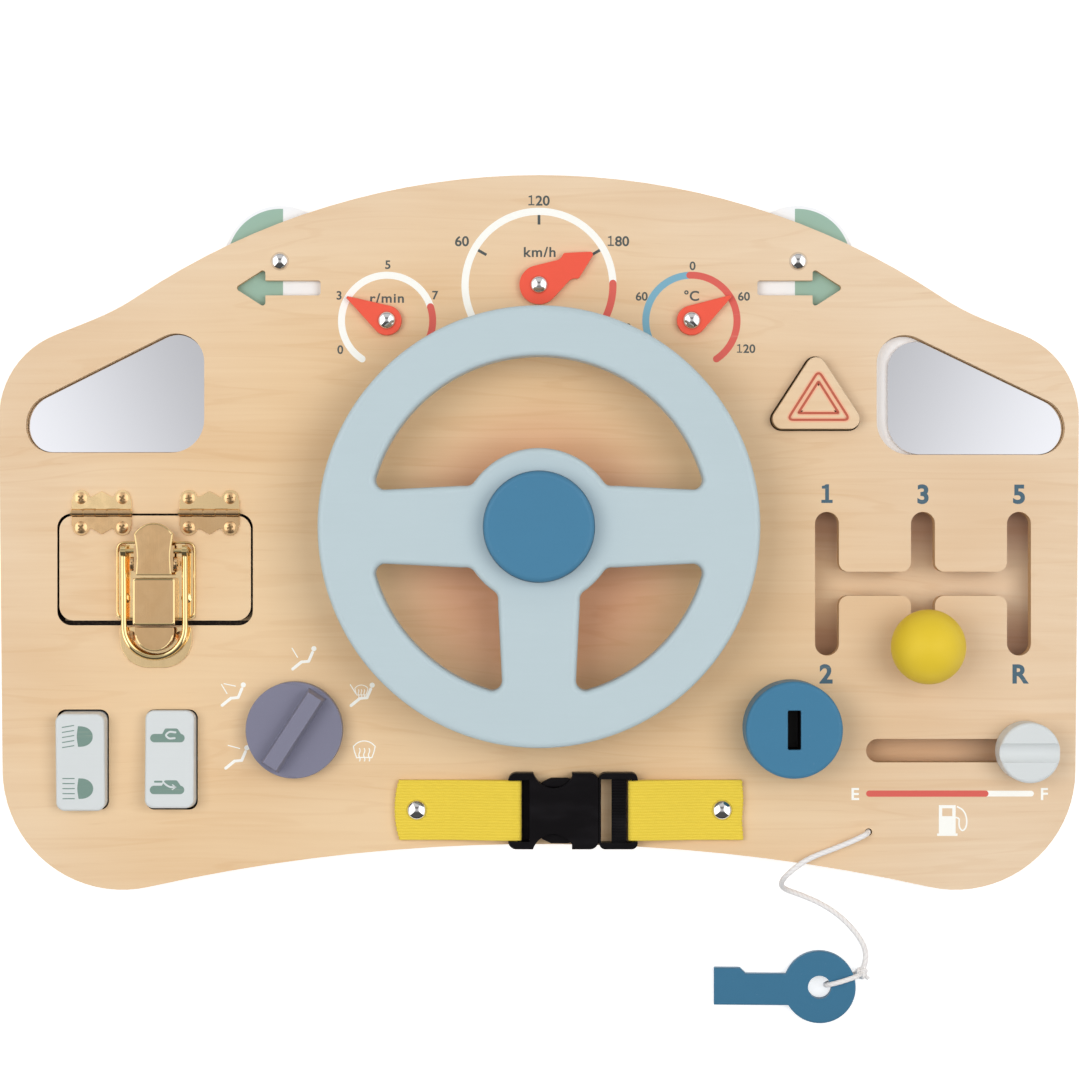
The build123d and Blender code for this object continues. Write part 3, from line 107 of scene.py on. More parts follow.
class BoardWood(PropertyGroup):
    light: tint("Light grain", (239, 215, 185), "Pale bands of the veneer")
    dark: tint("Dark grain", (226, 194, 158), "Darker bands of the veneer")
    fleck: tint("Flecks", (206, 166, 124), "Short pores and hairlines in the veneer")
    ply_light: tint("Light ply", (226, 196, 154), "Pale layers on the sawn edges")
    ply_dark: tint("Dark ply", (190, 146, 100), "Cross layers on the sawn edges")
    # painted shade: walls of the narrow cuts, the door and the warning button take this near black, as scorch
    # and as the shade in their gaps
    scorch_and_shade: tint("Burnt edge", (34, 20, 13), "Scorched walls of the narrow cuts")
    dowel: tint("Dowel", (216, 180, 136), "Bare beech of stems and discs inside")
    ply_pitch: length("Ply thickness", 1.35, "Thickness of one layer of the plywood")


class BoardPaint(PropertyGroup):
    wheel: tint("Wheel", (188, 204, 209), "Pale grey-blue of the steering wheel")
    blue: tint("Blue knobs", (68, 124, 157), "Blue of the horn button and the lock")
    key: tint("Key", (55, 111, 143), "Darker blue of the key")
    needle: tint("Needles", (240, 92, 70), "Orange red of the needles")
    violet: tint("Climate knob", (127, 126, 145), "Grey violet of the climate knob")
    white: tint("Switches", (216, 220, 220), "Cool white of the rockers and the fuel knob")
    ball: tint("Ball", (228, 196, 46), "Yellow of the gear ball")
    green: tint("Indicator green", (156, 187, 170), "Sage green half of the signal discs")
    disc_white: tint("Indicator white", (248, 249, 251), "White half of the signal discs")
    green_radius: length("Green radius", 22.4, "Radius of the green half inside its white rim")


class BoardPrint(PropertyGroup):
    white: tint("White ink", (254, 253, 246), "Arcs and small symbols")
    red: tint("Red ink", (220, 102, 92), "Warning part of the arcs")
    blue: tint("Blue ink", (126, 176, 197), "Cold part of the temperature arc")
    slate: tint("Gear numbers", (78, 104, 119), "Large numbers at the gear track")
    grey: tint("Gauge words", (84, 90, 89), "Numbers and words at the gauges")
    symbol: tint("Switch symbols", (122, 148, 138), "Grey-green symbols on the rockers")
    outline: tint("Warning outline", (192, 97, 77), "Two outlines on the warning button")
    halo: tint("Warning halo", (240, 186, 152), "Faint tint beside the outlines")
    arc: length("Arc width", 3.0, "Width of the large arc's line")
    small_arc: length("Small arc width", 2.9, "Width of the small arcs' lines")
    gear_height: length("Gear numbers", 7.8, "Height of the gear numbers")
    gauge_height: length("Gauge numbers", 4.2, "Height of the large gauge's numbers")
    small_height: length("Small numbers", 3.6, "Height of the small gauges' numbers")


class BoardMetal(PropertyGroup):
    brass: tint("Brass", (236, 196, 146), "Plated hinges and latch")
    wire: tint("Brass wire", (238, 212, 154), "Wire, pins and rolled rims of the latch")
    pale: tint("Pale brass", (255, 222, 168), "Plates that lie flat on the wood")
    # painted light: paler tint for brass plates that lie flat on the face
    tarnish: tint("Brass shade", (230, 188, 137), "Warmer patches in the plating")
    chrome: tint("Chrome", (226, 224, 224), "Dome heads and rivets")
    steel: tint("Steel", (186, 187, 190), "Screws, axle, springs and rods inside")
    mirror: tint("Mirror", (245, 246, 252), "Silvered acrylic")


class BoardStrap(PropertyGroup):
    yellow: tint("Webbing", (240, 212, 78), "Top of the webbing's ribs")
    valley: tint("Webbing valleys", (230, 198, 62), "Between the ribs")
    width: length("Webbing width", 25.0, "Width of the strap")
    thickness: length("Webbing thickness", 1.4, "Thickness of one layer")
    ribs: IntProperty(name="Ribs", description="Ribs across the webbing", default=21, min=3, max=60)
    rib: length("Rib height", 0.07, "How far a rib stands out")
    plastic: tint("Buckle", (15, 13, 15), "Black plastic of the buckle")


class BoardCord(PropertyGroup):
    cotton: tint("Cotton", (246, 243, 241), "Lit side of the cord's strands")
    shade: tint("Cotton shade", (236, 231, 230), "Between the strands")
    radius: length("Cord radius", 1.15, "Half of the cord's thickness")
    pitch: length("Twist", 7.5, "Length in which a strand goes once round")


class BoardStage(PropertyGroup):
    floor: tint("Floor", (240, 240, 240), "Pale floor under the board")
    lamp: FloatProperty(name="Lamps", description="Power of each side lamp", subtype="POWER", unit="POWER",
                        default=7.1, min=0.0)
    sky: FloatProperty(name="Sky", description="Even light from all round", default=0.43, min=0.0)
    distance: length("Camera distance", 1250.0, "From the printed face to the camera")


GROUPS = {
    "board_wood": BoardWood,
    "board_paint": BoardPaint,
    "board_print": BoardPrint,
    "board_metal": BoardMetal,
    "board_strap": BoardStrap,
    "board_cord": BoardCord,
    "board_stage": BoardStage,
}


# ------------------------------------------------------------------
# meshes: every shape is (points, triangles) as whole arrays
# ------------------------------------------------------------------
def linked(name, data):
    """Object of some data, put in the scene."""
    made = bpy.data.objects.new(name, data)
    bpy.context.scene.collection.objects.link(made)
    return made


def joined(shapes):
    """One shape from many: the points in a row, each shape's triangles moved up by the points before it."""
    counts = np.cumsum([0] + [len(points) for points, _ in shapes])[:-1]
    points = np.concatenate([points for points, _ in shapes])
    triangles = np.concatenate([faces + start for (_, faces), start in zip(shapes, counts)])
    return points, triangles


def piece(name, shape, material, body="root", smooth=False, uv=None):
    """Mesh object at the origin from (points, faces), riding on a body unless that is None."""
    points, faces = shape
    mesh = bpy.data.meshes.new(name)
    mesh.from_pydata(points.tolist(), [], faces.tolist())
    if uv is not None:
        corners = np.zeros(len(mesh.loops), dtype=np.int32)
        mesh.loops.foreach_get("vertex_index", corners)
        layer = mesh.uv_layers.new(name="UVMap")
        layer.data.foreach_set("uv", uv[corners].astype(np.float32).ravel())
    mesh.polygons.foreach_set("use_smooth", np.full(len(mesh.polygons), smooth))
    mesh.materials.append(material)
    mesh.update()
    made = linked(name, mesh)
    if body:
        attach(made, body)
    return made


def outward(shape):
    """Turns all triangles over where the volume, a sixth of the sum of a . (b x c), is negative."""
    points, faces = shape
    a, b, c = (points[faces[:, k]] for k in range(3))
    return shape if np.sum(a * np.cross(b, c)) > 0 else (points, faces[:, ::-1])


def body_of(node):
    """Name of the moving body that a CAD node belongs to."""
    for body, nodes in frame["record"]["behaviour"]["bodies"].items():
        if node in nodes:
            return body
    raise KeyError(node)


def upright_corners(work):
    """Edges parallel to z where two walls meet at more than 20 degrees."""
    found = []
    for edge in work.edges:
        a, b = (vertex.co for vertex in edge.verts)
        if math.hypot(a.x - b.x, a.y - b.y) < 1e-6 and edge.calc_face_angle(0.0) > math.radians(20.0):
            found.append(edge)
    return found


def softened(node, width, swell=0.0, angle=38.0, corner=0.0):
    """Copy of a CAD node with rounded edges: doubles merged, flat faces joined, sharp edges bevelled.

    A swell moves each point along its normal by that distance first; a corner rounds the outline's corners.
    """
    work = bmesh.new()
    work.from_mesh(NODES[node].data)
    bmesh.ops.remove_doubles(work, verts=work.verts, dist=0.000002)
    if swell:
        work.normal_update()
        for vertex in work.verts:
            vertex.co += vertex.normal * swell
    bmesh.ops.dissolve_limit(work, angle_limit=math.radians(0.5), verts=work.verts, edges=work.edges)
    if corner:
        bmesh.ops.bevel(work, geom=upright_corners(work), offset=corner, segments=6, profile=0.5,
                        affect="EDGES", clamp_overlap=True)
    mesh = bpy.data.meshes.new(node + "_round")
    work.to_mesh(mesh)
    work.free()
    mesh.materials.clear()
    for slot in NODES[node].data.materials:
        mesh.materials.append(slot)
    mesh.polygons.foreach_set("use_smooth", np.ones(len(mesh.polygons), dtype=bool))
    rough = linked(node + "_rough", mesh)
    bevel = rough.modifiers.new("edges", "BEVEL")
    bevel.limit_method = "ANGLE"
    bevel.angle_limit = math.radians(angle)
    bevel.width = width
    bevel.segments = 3
    flat = rough.modifiers.new("flat faces", "WEIGHTED_NORMAL")
    flat.weight = 100
    flat.keep_sharp = True
    graph = bpy.context.evaluated_depsgraph_get()
    final = bpy.data.meshes.new_from_object(
        rough.evaluated_get(graph), preserve_all_data_layers=True, depsgraph=graph
    )
    bpy.data.objects.remove(rough)
    bpy.data.meshes.remove(mesh)
    final.name = node + "_round"
    made = linked(node + "_round", final)
    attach(made, body_of(node))
    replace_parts(made, node)
    return made


def read_curve(curve):
    """Points and triangles that a curve or a text has as a mesh; the curve itself is removed."""
    thing = linked("curve", curve)
    bpy.context.view_layer.update()
    mesh = bpy.data.meshes.new_from_object(thing)
    points = np.zeros(len(mesh.vertices) * 3)
    mesh.vertices.foreach_get("co", points)
    mesh.calc_loop_triangles()
    faces = np.zeros(len(mesh.loop_triangles) * 3, dtype=np.int32)
    mesh.loop_triangles.foreach_get("vertices", faces)
    bpy.data.objects.remove(thing)
    bpy.data.curves.remove(curve)
    bpy.data.meshes.remove(mesh)
    return points.reshape(-1, 3), faces.reshape(-1, 3)


def unit(vectors):
    """Vectors along the last axis, each divided by its length."""
    return vectors / np.linalg.norm(vectors, axis=-1, keepdims=True)


def run_along(line):
    """Length along a line up to each of its points."""
    return np.concatenate([[0.0], np.cumsum(np.linalg.norm(np.diff(line, axis=0), axis=1))])


def heading(degrees):
    """Unit vector (x, y) of a heading."""
    return np.array([math.cos(math.radians(degrees)), math.sin(math.radians(degrees))])


def bend(first, middle, last, t):
    """Quadratic curve: (1 - t)^2 * first + 2 t (1 - t) * middle + t^2 * last."""
    return (1 - t) ** 2 * first + 2 * t * (1 - t) * middle + t**2 * last


def grid_faces(rows, columns, close_rows=False, close_columns=False):
    """Quads of a grid whose point (i, j) is number i * columns + j, outward for columns that turn left."""
    i = np.arange(rows if close_rows else rows - 1)
    j = np.arange(columns if close_columns else columns - 1)
    i, j = (a.ravel() for a in np.meshgrid(i, j, indexing="ij"))
    up = (i + 1) % rows
    right = (j + 1) % columns
    return np.stack([i * columns + j, i * columns + right, up * columns + right, up * columns + j], axis=1)


def halves(quads):
    """Each quad (a, b, c, d) as the triangles (a, b, c) and (a, c, d)."""
    return np.concatenate([quads[:, [0, 1, 2]], quads[:, [0, 2, 3]]])


def sections(path, along, half, low, high):
    """Four corners at each point of a flat line, whose edges lie half a width off along the normal."""
    along = unit(along)
    left = np.column_stack([-along[:, 1], along[:, 0]]) * half[:, None]
    ring = np.stack([path - left, path + left, path + left, path - left], axis=1)
    height = np.broadcast_to(np.array([high, high, low, low]), ring.shape[:2])
    return np.concatenate([ring, height[:, :, None]], axis=2).reshape(-1, 3)


def stroke(points, width, low, high, round_ends=True):
    """Flat line along points (n, 2) with closed ends.

    A round end runs on by r = width / 2, where the half width at distance t is r * sqrt(1 - (t / r)^2).
    """
    path = np.asarray(points, dtype=float)
    half = np.full(len(path), width / 2)
    if round_ends:
        angle = np.linspace(0.0, math.pi / 2, 7)[1:]
        ahead = np.sin(angle)[:, None] * width / 2
        narrow = np.maximum(np.cos(angle), 0.02) * width / 2
        first = unit(path[0] - path[1])
        last = unit(path[-1] - path[-2])
        path = np.concatenate([(path[0] + ahead * first)[::-1], path, path[-1] + ahead * last])
        half = np.concatenate([narrow[::-1], half, narrow])
    corners = sections(path, np.gradient(path, axis=0), half, low, high)
    faces = halves(grid_faces(len(path), 4, close_columns=True))[:, ::-1]
    near = np.array([[0, 1, 2], [0, 2, 3]])
    far = near[:, ::-1] + 4 * (len(path) - 1)
    return corners, np.concatenate([faces, near, far])


def band(outline, width, low, high):
    """Closed flat line of one width round an outline, with upright walls."""
    path = np.asarray(outline, dtype=float)
    along = np.roll(path, -1, axis=0) - np.roll(path, 1, axis=0)
    corners = sections(path, along, np.full(len(path), width / 2), low, high)
    return corners, halves(grid_faces(len(path), 4, close_rows=True, close_columns=True))[:, ::-1]


def filled(loops):
    """Triangles that fill an outline and leave its holes open."""
    return np.array(tessellate_polygon([[(x, y, 0.0) for x, y in loop] for loop in loops]))


def plate(flat, cap, low, high):
    """Flat triangles facing up and, below, facing down, with walls where an edge has one triangle only."""
    a, b, c = (flat[cap[:, k]] for k in range(3))
    turn = (b[:, 0] - a[:, 0]) * (c[:, 1] - a[:, 1]) - (b[:, 1] - a[:, 1]) * (c[:, 0] - a[:, 0])
    cap = np.where((turn > 0)[:, None], cap, cap[:, ::-1])
    edges = np.concatenate([cap[:, [0, 1]], cap[:, [1, 2]], cap[:, [2, 0]]])
    _, place, seen = np.unique(np.sort(edges, axis=1), axis=0, return_index=True, return_counts=True)
    start, end = edges[place[seen == 1]].T
    count = len(flat)
    wall = halves(np.column_stack([start + count, end + count, end, start]))
    top, bottom = (np.column_stack([flat, np.full(count, height)]) for height in (high, low))
    return np.concatenate([top, bottom]), np.concatenate([cap, cap[:, ::-1] + count, wall])


def slab(outline, low, high, holes=()):
    """Flat plate with vertical sides over an outline, with holes cut through it."""
    loops = [np.asarray(loop, dtype=float) for loop in (outline, *holes)]
    return plate(np.concatenate(loops), filled(loops), low, high)


def arc(x, y, radius, start, end, step=2.0):
    """Points of a circle from one heading to another, in degrees."""
    count = max(3, int(abs(end - start) / step) + 1)
    angle = np.radians(np.linspace(start, end, count))
    return np.column_stack([x + radius * np.cos(angle), y + radius * np.sin(angle)])


def rounded(corners, radius, step=8):
    """Closed outline whose corners are quadratic curves that start and end a radius away along both sides."""
    points = np.asarray(corners, dtype=float)
    first, last = (points + unit(np.roll(points, turn, axis=0) - points) * radius for turn in (1, -1))
    t = np.linspace(0.0, 1.0, step)[None, :, None]
    return bend(first[:, None, :], points[:, None, :], last[:, None, :], t).reshape(-1, 2)


def box_outline(left, right, low, high):
    """Corners of a rectangle, turning left."""
    return [(left, low), (right, low), (right, high), (left, high)]


def smooth_line(points, count=24):
    """Open curve through a few points: each axis is a monotone cubic of the length along them."""
    given = np.asarray(points, dtype=float)
    run = run_along(given)
    where = np.linspace(0.0, run[-1], count)
    slope = np.gradient(given, run, axis=0)
    k = np.clip(np.searchsorted(run, where, side="right") - 1, 0, len(run) - 2)
    span = (run[k + 1] - run[k])[:, None]
    t = ((where - run[k]) / (run[k + 1] - run[k]))[:, None]
    h00 = 2 * t**3 - 3 * t**2 + 1
    h10 = t**3 - 2 * t**2 + t
    h01 = -2 * t**3 + 3 * t**2
    h11 = t**3 - t**2
    return h00 * given[k] + h10 * span * slope[k] + h01 * given[k + 1] + h11 * span * slope[k + 1]


FIGURE_HEIGHT = 0.729  # of the font's figures at size one
FIGURE_ONE_STEP = 0.60


def figure_one(weight):
    """Outline of a figure one with a flag and a foot, as high as the font's figures."""
    bold = (weight - 0.02) / 0.014
    stem, foot = 0.0425 + 0.030 * bold, 0.092 + 0.030 * bold
    left, right, under = 0.318 - stem, 0.318 + stem, 0.585 - 0.03 * bold
    return np.array([
        (0.10, 0.0), (0.53, 0.0), (0.53, foot), (right, foot), (right, FIGURE_HEIGHT),
        (left + 0.03, FIGURE_HEIGHT), (0.22, 0.685), (0.12, 0.66), (0.12, under), (left, under),
        (left, foot), (0.10, foot),
    ])


def lettering(words, x, y, height, squeeze=1.04, weight=0.020, spacing=1.0):
    """Words as a thin solid centred on (x, y) of the face: figures are a given height, then squeezed in x.

    A leading figure one is drawn here, with a flag and a foot.
    """
    curve = bpy.data.curves.new("words", "FONT")
    curve.body = words.lstrip("1")
    curve.space_character = spacing
    curve.offset = weight
    curve.resolution_u = 6
    points, cap = read_curve(curve)
    flat = points[:, :2]
    if words[0] == "1":
        one = figure_one(weight)
        cap = np.vstack([cap, filled([one]) + len(flat)])
        flat = np.vstack([flat + [FIGURE_ONE_STEP, 0.0], one]) if len(flat) else one
    scale = height / FIGURE_HEIGHT
    spread = (flat[:, 0].min() + flat[:, 0].max()) / 2
    flat = (flat - [spread, FIGURE_HEIGHT / 2]) * [scale * squeeze, scale] + [x, y]
    return plate(flat, cap, FACE, FACE + INK)


def ink(points, width, base=FACE, lift=0.0, round_ends=True):
    """Printed line on a face, its points and width in millimetres."""
    low = base + lift
    return stroke(np.asarray(points) * MM, width * MM, low, low + INK, round_ends)


def ink_area(outline, base=FACE, lift=0.0, holes=()):
    """Printed area on a face, its outline and holes in millimetres."""
    low = base + lift
    return slab(np.asarray(outline) * MM, low, low + INK, [np.asarray(hole) * MM for hole in holes])


# ------------------------------------------------------------------
# shader groups and materials
# ------------------------------------------------------------------
class Signal:
    """What a shader socket gives; each arithmetic sign adds one maths node to its tree."""

    def __init__(self, wires, socket):
        self.wires = wires
        self.socket = socket

    def __add__(self, other):
        return self.wires.maths("ADD", self, other)

    def __radd__(self, other):
        return self.wires.maths("ADD", other, self)

    def __sub__(self, other):
        return self.wires.maths("SUBTRACT", self, other)

    def __rsub__(self, other):
        return self.wires.maths("SUBTRACT", other, self)

    def __mul__(self, other):
        return self.wires.maths("MULTIPLY", self, other)

    def __truediv__(self, other):
        return self.wires.maths("DIVIDE", self, other)

    def __pow__(self, other):
        return self.wires.maths("POWER", self, other)

    def __mod__(self, other):
        return self.wires.maths("MODULO", self, other)

    def __abs__(self):
        return self.wires.maths("ABSOLUTE", self)

    def clamped(self):
        """The same, kept between zero and one by the node that makes it."""
        self.socket.node.use_clamp = True
        return self


class Wires:
    """Short ways to add nodes to a tree and join them."""

    def __init__(self, tree):
        self.tree = tree

    def signals(self, sockets):
        return [Signal(self, socket) for socket in sockets]

    def put(self, socket, value):
        if isinstance(value, Signal):
            self.tree.links.new(value.socket, socket)
        elif isinstance(value, bpy.types.NodeSocket):
            self.tree.links.new(value, socket)
        elif hasattr(value, "__len__") and socket.type == "RGBA":
            socket.default_value = (*tuple(value)[:3], 1.0)
        else:
            socket.default_value = value

    def node(self, kind, settings=(), numbered=(), **inputs):
        """New node with its settings; its inputs are given in their order or by name."""
        made = self.tree.nodes.new(kind)
        for key, value in dict(settings).items():
            setattr(made, key, value)
        for socket, value in zip(made.inputs, numbered):
            self.put(socket, value)
        for key, value in inputs.items():
            self.put(made.inputs[key.replace("_", " ")], value)
        return made

    def maths(self, operation, a, b=0.0):
        return Signal(self, self.node("ShaderNodeMath", {"operation": operation}, (a, b, 0.0)).outputs[0])

    def vector(self, operation, a, b=(0.0, 0.0, 0.0)):
        return Signal(self, self.node("ShaderNodeVectorMath", {"operation": operation}, (a, b)).outputs[0])

    def alike(self, value):
        """A vector whose three parts are the same value."""
        return Signal(self, self.node("ShaderNodeCombineXYZ", numbered=(value, value, value)).outputs[0])

    def noise(self, where, stretch=None, detail=2.0, roughness=0.5):
        """Noise over a place that is first multiplied by a stretch along each axis."""
        place = self.vector("MULTIPLY", where, stretch) if stretch else where
        made = self.node("ShaderNodeTexNoise", Vector=place, Scale=1.0, Detail=detail, Roughness=roughness)
        return Signal(self, made.outputs["Fac"])

    def fade(self, value, low, high, to_low=0.0, to_high=1.0):
        """Smooth step from low to high."""
        numbered = (value, low, high, to_low, to_high)
        made = self.node("ShaderNodeMapRange", {"interpolation_type": "SMOOTHSTEP"}, numbered)
        return Signal(self, made.outputs["Result"])

    def blend(self, share_of_second, first, second, mode="MIX"):
        made = self.node("ShaderNodeMix", {"data_type": "RGBA", "blend_type": mode})
        for number, value in ((0, share_of_second), (6, first), (7, second)):
            self.put(made.inputs[number], value)
        return Signal(self, made.outputs[2])

    def tinted(self, share, colour, tint_rgb):
        """A colour multiplied by a tint where the share is one."""
        return self.blend(share, colour, self.blend(1.0, colour, tint_rgb, "MULTIPLY"))

    def split(self, vector):
        return self.signals(self.node("ShaderNodeSeparateXYZ", Vector=vector).outputs)

    def within(self, x, y, left, right, low, high):
        """One inside a rectangle, with soft sides 0.1 mm wide."""
        soft = 0.1 * MM
        across = self.fade(x, left - soft, left) * self.fade(x, right + soft, right)
        return across * (self.fade(y, low - soft, low) * self.fade(y, high + soft, high))

    def reach(self, x, y, centre_x, centre_y):
        """Distance from a centre: the root of dx squared and dy squared."""
        dx, dy = x - centre_x, y - centre_y
        return (dx * dx + dy * dy) ** 0.5


class Group(Wires):
    """New shader group; its inputs are a vector and the colours and values given by name."""

    def __init__(self, name, **defaults):
        super().__init__(bpy.data.node_groups.new(name, "ShaderNodeTree"))
        self.add_socket("Vector", "INPUT", "NodeSocketVector")
        for title, default in defaults.items():
            colour = isinstance(default, tuple)
            socket = self.add_socket(title, "INPUT", "NodeSocketColor" if colour else "NodeSocketFloat")
            socket.default_value = (*default, 1.0) if colour else default
        self.inputs = self.signals(self.tree.nodes.new("NodeGroupInput").outputs)[:-1]

    def add_socket(self, title, direction, kind):
        return self.tree.interface.new_socket(name=title, in_out=direction, socket_type=kind)

    def give(self, **results):
        """Closes the group with its outputs: Color is a colour and the others are values."""
        for title in results:
            self.add_socket(title, "OUTPUT", "NodeSocketColor" if title == "Color" else "NodeSocketFloat")
        self.node("NodeGroupOutput", **results)
        return self.tree


def make_veneer_group(name):
    """Fine maple: long streaks and broad bands along x, bent by a slow wave, with short pores."""
    w = Group(name, Light=(0.8, 0.65, 0.45), Dark=(0.7, 0.5, 0.3), Fleck=(0.5, 0.3, 0.15), Contrast=1.0)
    where, light, dark, fleck, contrast = w.inputs
    slow = w.noise(where, (3.0, 11.0, 11.0))
    sway = (slow - 0.5) * 0.035
    bent = w.vector("ADD", where, w.node("ShaderNodeCombineXYZ", Y=sway, Z=sway).outputs[0])
    broad = w.noise(bent, (2.6, 46.0, 46.0), 3.0, 0.55)
    streak = w.noise(bent, (7.0, 330.0, 330.0), 4.0, 0.62)
    hair = w.noise(bent, (22.0, 1500.0, 1500.0))
    patch = w.noise(where, (9.0, 14.0, 14.0))
    share_dark = w.fade(broad * 0.42 + streak * 0.34 + patch * 0.62, 0.42, 1.0)
    ring = w.maths("SINE", (broad + slow * 1.6) * 34.0)
    share_dark = ((share_dark + w.fade(ring, 0.80, 1.0) * 0.22) * contrast).clamped()
    pores = w.fade(hair, 0.60, 0.80) * w.fade(streak, 0.42, 0.66)
    pores = (pores * (contrast * 0.30)).clamped()
    colour = w.blend(pores, w.blend(share_dark, light, dark), fleck)
    return w.give(Color=colour, Roughness=w.fade(streak, 0.2, 0.8, 0.42, 0.56),
                  Height=streak * 0.4 - pores * 0.8)


def make_ply_group(name):
    """Sawn plywood: below the top veneer the colour steps between two plies by height."""
    w = Group(name, Surface=(0.8, 0.65, 0.45), Light=(0.8, 0.65, 0.45), Dark=(0.5, 0.35, 0.2),
              Burnt=(0.03, 0.02, 0.01), Top=FACE, Pitch=0.0014, Upright=1.0, Burn=0.0)
    where, surface, light, dark, scorch_and_shade, top, pitch, upright, scorch_and_shade_share = w.inputs
    depth = top - w.split(where)[2]
    wander = w.noise(where, (18.0, 18.0, 90.0))
    turn = w.maths("FRACT", (depth + wander * 0.0002) / (pitch * 2.0))
    saw = w.noise(where, (900.0, 900.0, 160.0))
    layer = w.fade(turn, 0.46, 0.50) * w.fade(turn, 0.96, 1.0, 1.0, 0.0) * w.fade(saw, 0.2, 0.8, 0.75, 1.0)
    edge = w.fade(depth, 0.0006, 0.0009) * upright
    # painted shade: walls below the top take the scorch colour, as scorch and as the shade in narrow gaps
    scorch_and_shade_mask = scorch_and_shade_share * w.fade(depth, 0.0, 0.0004) * w.fade(saw, 0.1, 0.6, 0.86, 1.0)
    wall = w.blend(edge, surface, w.blend(layer, light, dark))
    return w.give(Color=w.blend(scorch_and_shade_mask, wall, scorch_and_shade), Edge=edge, Height=saw * edge)


def make_paint_group(name):
    """Sprayed paint: faint cloudiness, orange peel, the wood's grain under it and a few pale specks."""
    w = Group(name, Paint=(0.5, 0.5, 0.5), Cloud=0.07)
    where, colour, cloudy = w.inputs
    cloud = w.noise(where, (26.0, 34.0, 34.0), 3.0, 0.6)
    grain = w.noise(where, (60.0, 900.0, 900.0), 3.0, 0.6)
    peel = w.noise(where, (1500.0, 1500.0, 1500.0))
    speck = w.noise(where, (700.0, 700.0, 700.0), 1.0)
    bright = 1.0 + ((cloud - 0.5) * cloudy + (grain - 0.5) * 0.03)
    dust = w.fade(speck, 0.72, 0.80, 0.0, 0.03)
    colour = w.blend(dust, w.vector("MULTIPLY", colour, w.alike(bright)), (0.9, 0.9, 0.9))
    return w.give(Color=colour, Roughness=w.fade(cloud, 0.2, 0.8, 0.44, 0.56),
                  Height=peel * 0.5 + grain * 0.5)


def make_metal_group(name):
    """Plated metal: slow patches between two tints, smudges, and fine drawn lines along y."""
    w = Group(name, Bright=(0.8, 0.8, 0.8), Shade=(0.6, 0.6, 0.6), Smooth=0.12, Rough=0.30)
    where, bright, shade, smooth, rough = w.inputs
    patch = w.noise(where, (90.0, 70.0, 90.0), 3.0, 0.6)
    drawn = w.noise(where, (2600.0, 90.0, 2600.0))
    smudge = w.noise(where, (240.0, 240.0, 240.0), 2.0, 0.6)
    colour = w.blend(w.fade(patch, 0.35, 0.75), bright, shade)
    return w.give(Color=colour, Roughness=w.fade(smudge, 0.35, 0.75, smooth, rough),
                  Height=drawn * 0.6 + smudge * 0.4)


def make_plastic_group(name):
    """Moulded plastic: an even fine sparkle with faint flow marks."""
    w = Group(name, Plastic=(0.02, 0.02, 0.02))
    where, plastic_colour = w.inputs
    grain = w.noise(where, (2600.0, 2600.0, 2600.0))
    flow = w.noise(where, (60.0, 160.0, 90.0))
    colour = w.blend(w.fade(flow, 0.4, 0.9, 0.0, 0.35), plastic_colour, (0.022, 0.020, 0.023))
    return w.give(Color=colour, Roughness=w.fade(flow, 0.2, 0.8, 0.34, 0.46), Height=grain)


def make_ink_group(name):
    """Screen ink on wood: the grain still shows a little, with tiny gaps where a pore took none."""
    w = Group(name, Ink=(0.9, 0.9, 0.9), Wood=(0.7, 0.5, 0.3))
    where, inked, wood = w.inputs
    grain = w.noise(where, (30.0, 900.0, 900.0), 3.0, 0.6)
    colour = w.blend(w.fade(grain, 0.60, 0.80, 0.0, 0.20), inked, wood)
    return w.give(Color=colour, Roughness=w.fade(grain, 0.2, 0.8, 0.5, 0.62), Height=grain)


def make_weave_group(name):
    """Ribbed webbing on UV in metres: ribs along u, and weft threads that cross each rib by turns; the
    valleys between the ribs are painted darker as painted shade.
    """
    w = Group(name, Thread=(0.8, 0.6, 0.1), Valley=(0.5, 0.35, 0.05), Rib=0.0012)
    where, thread_colour, valley, rib_pitch = w.inputs
    u, v, _ = w.split(where)
    number = v / rib_pitch + 200.5
    rib = w.fade(abs(w.maths("FRACT", number) - 0.5), 0.5, 0.18)
    odd = w.maths("FLOOR", number) % 2.0 * 0.5
    thread = w.fade(abs(w.maths("FRACT", u / 0.00075 + odd) - 0.5), 0.5, 0.12)
    fuzz = w.noise(where, (2600.0, 2600.0, 0.0))
    # painted shade: the valleys between ribs are darker
    tone = (rib * (thread * 0.45 + 0.55) * 0.85 + fuzz * 0.3).clamped()
    return w.give(Color=w.blend(tone, valley, thread_colour), Height=tone)


GROUP_MAKERS = {
    "Veneer grain": make_veneer_group,
    "Ply edge": make_ply_group,
    "Paint film": make_paint_group,
    "Plated metal": make_metal_group,
    "Moulded grain": make_plastic_group,
    "Screen ink": make_ink_group,
    "Ribbed weave": make_weave_group,
}


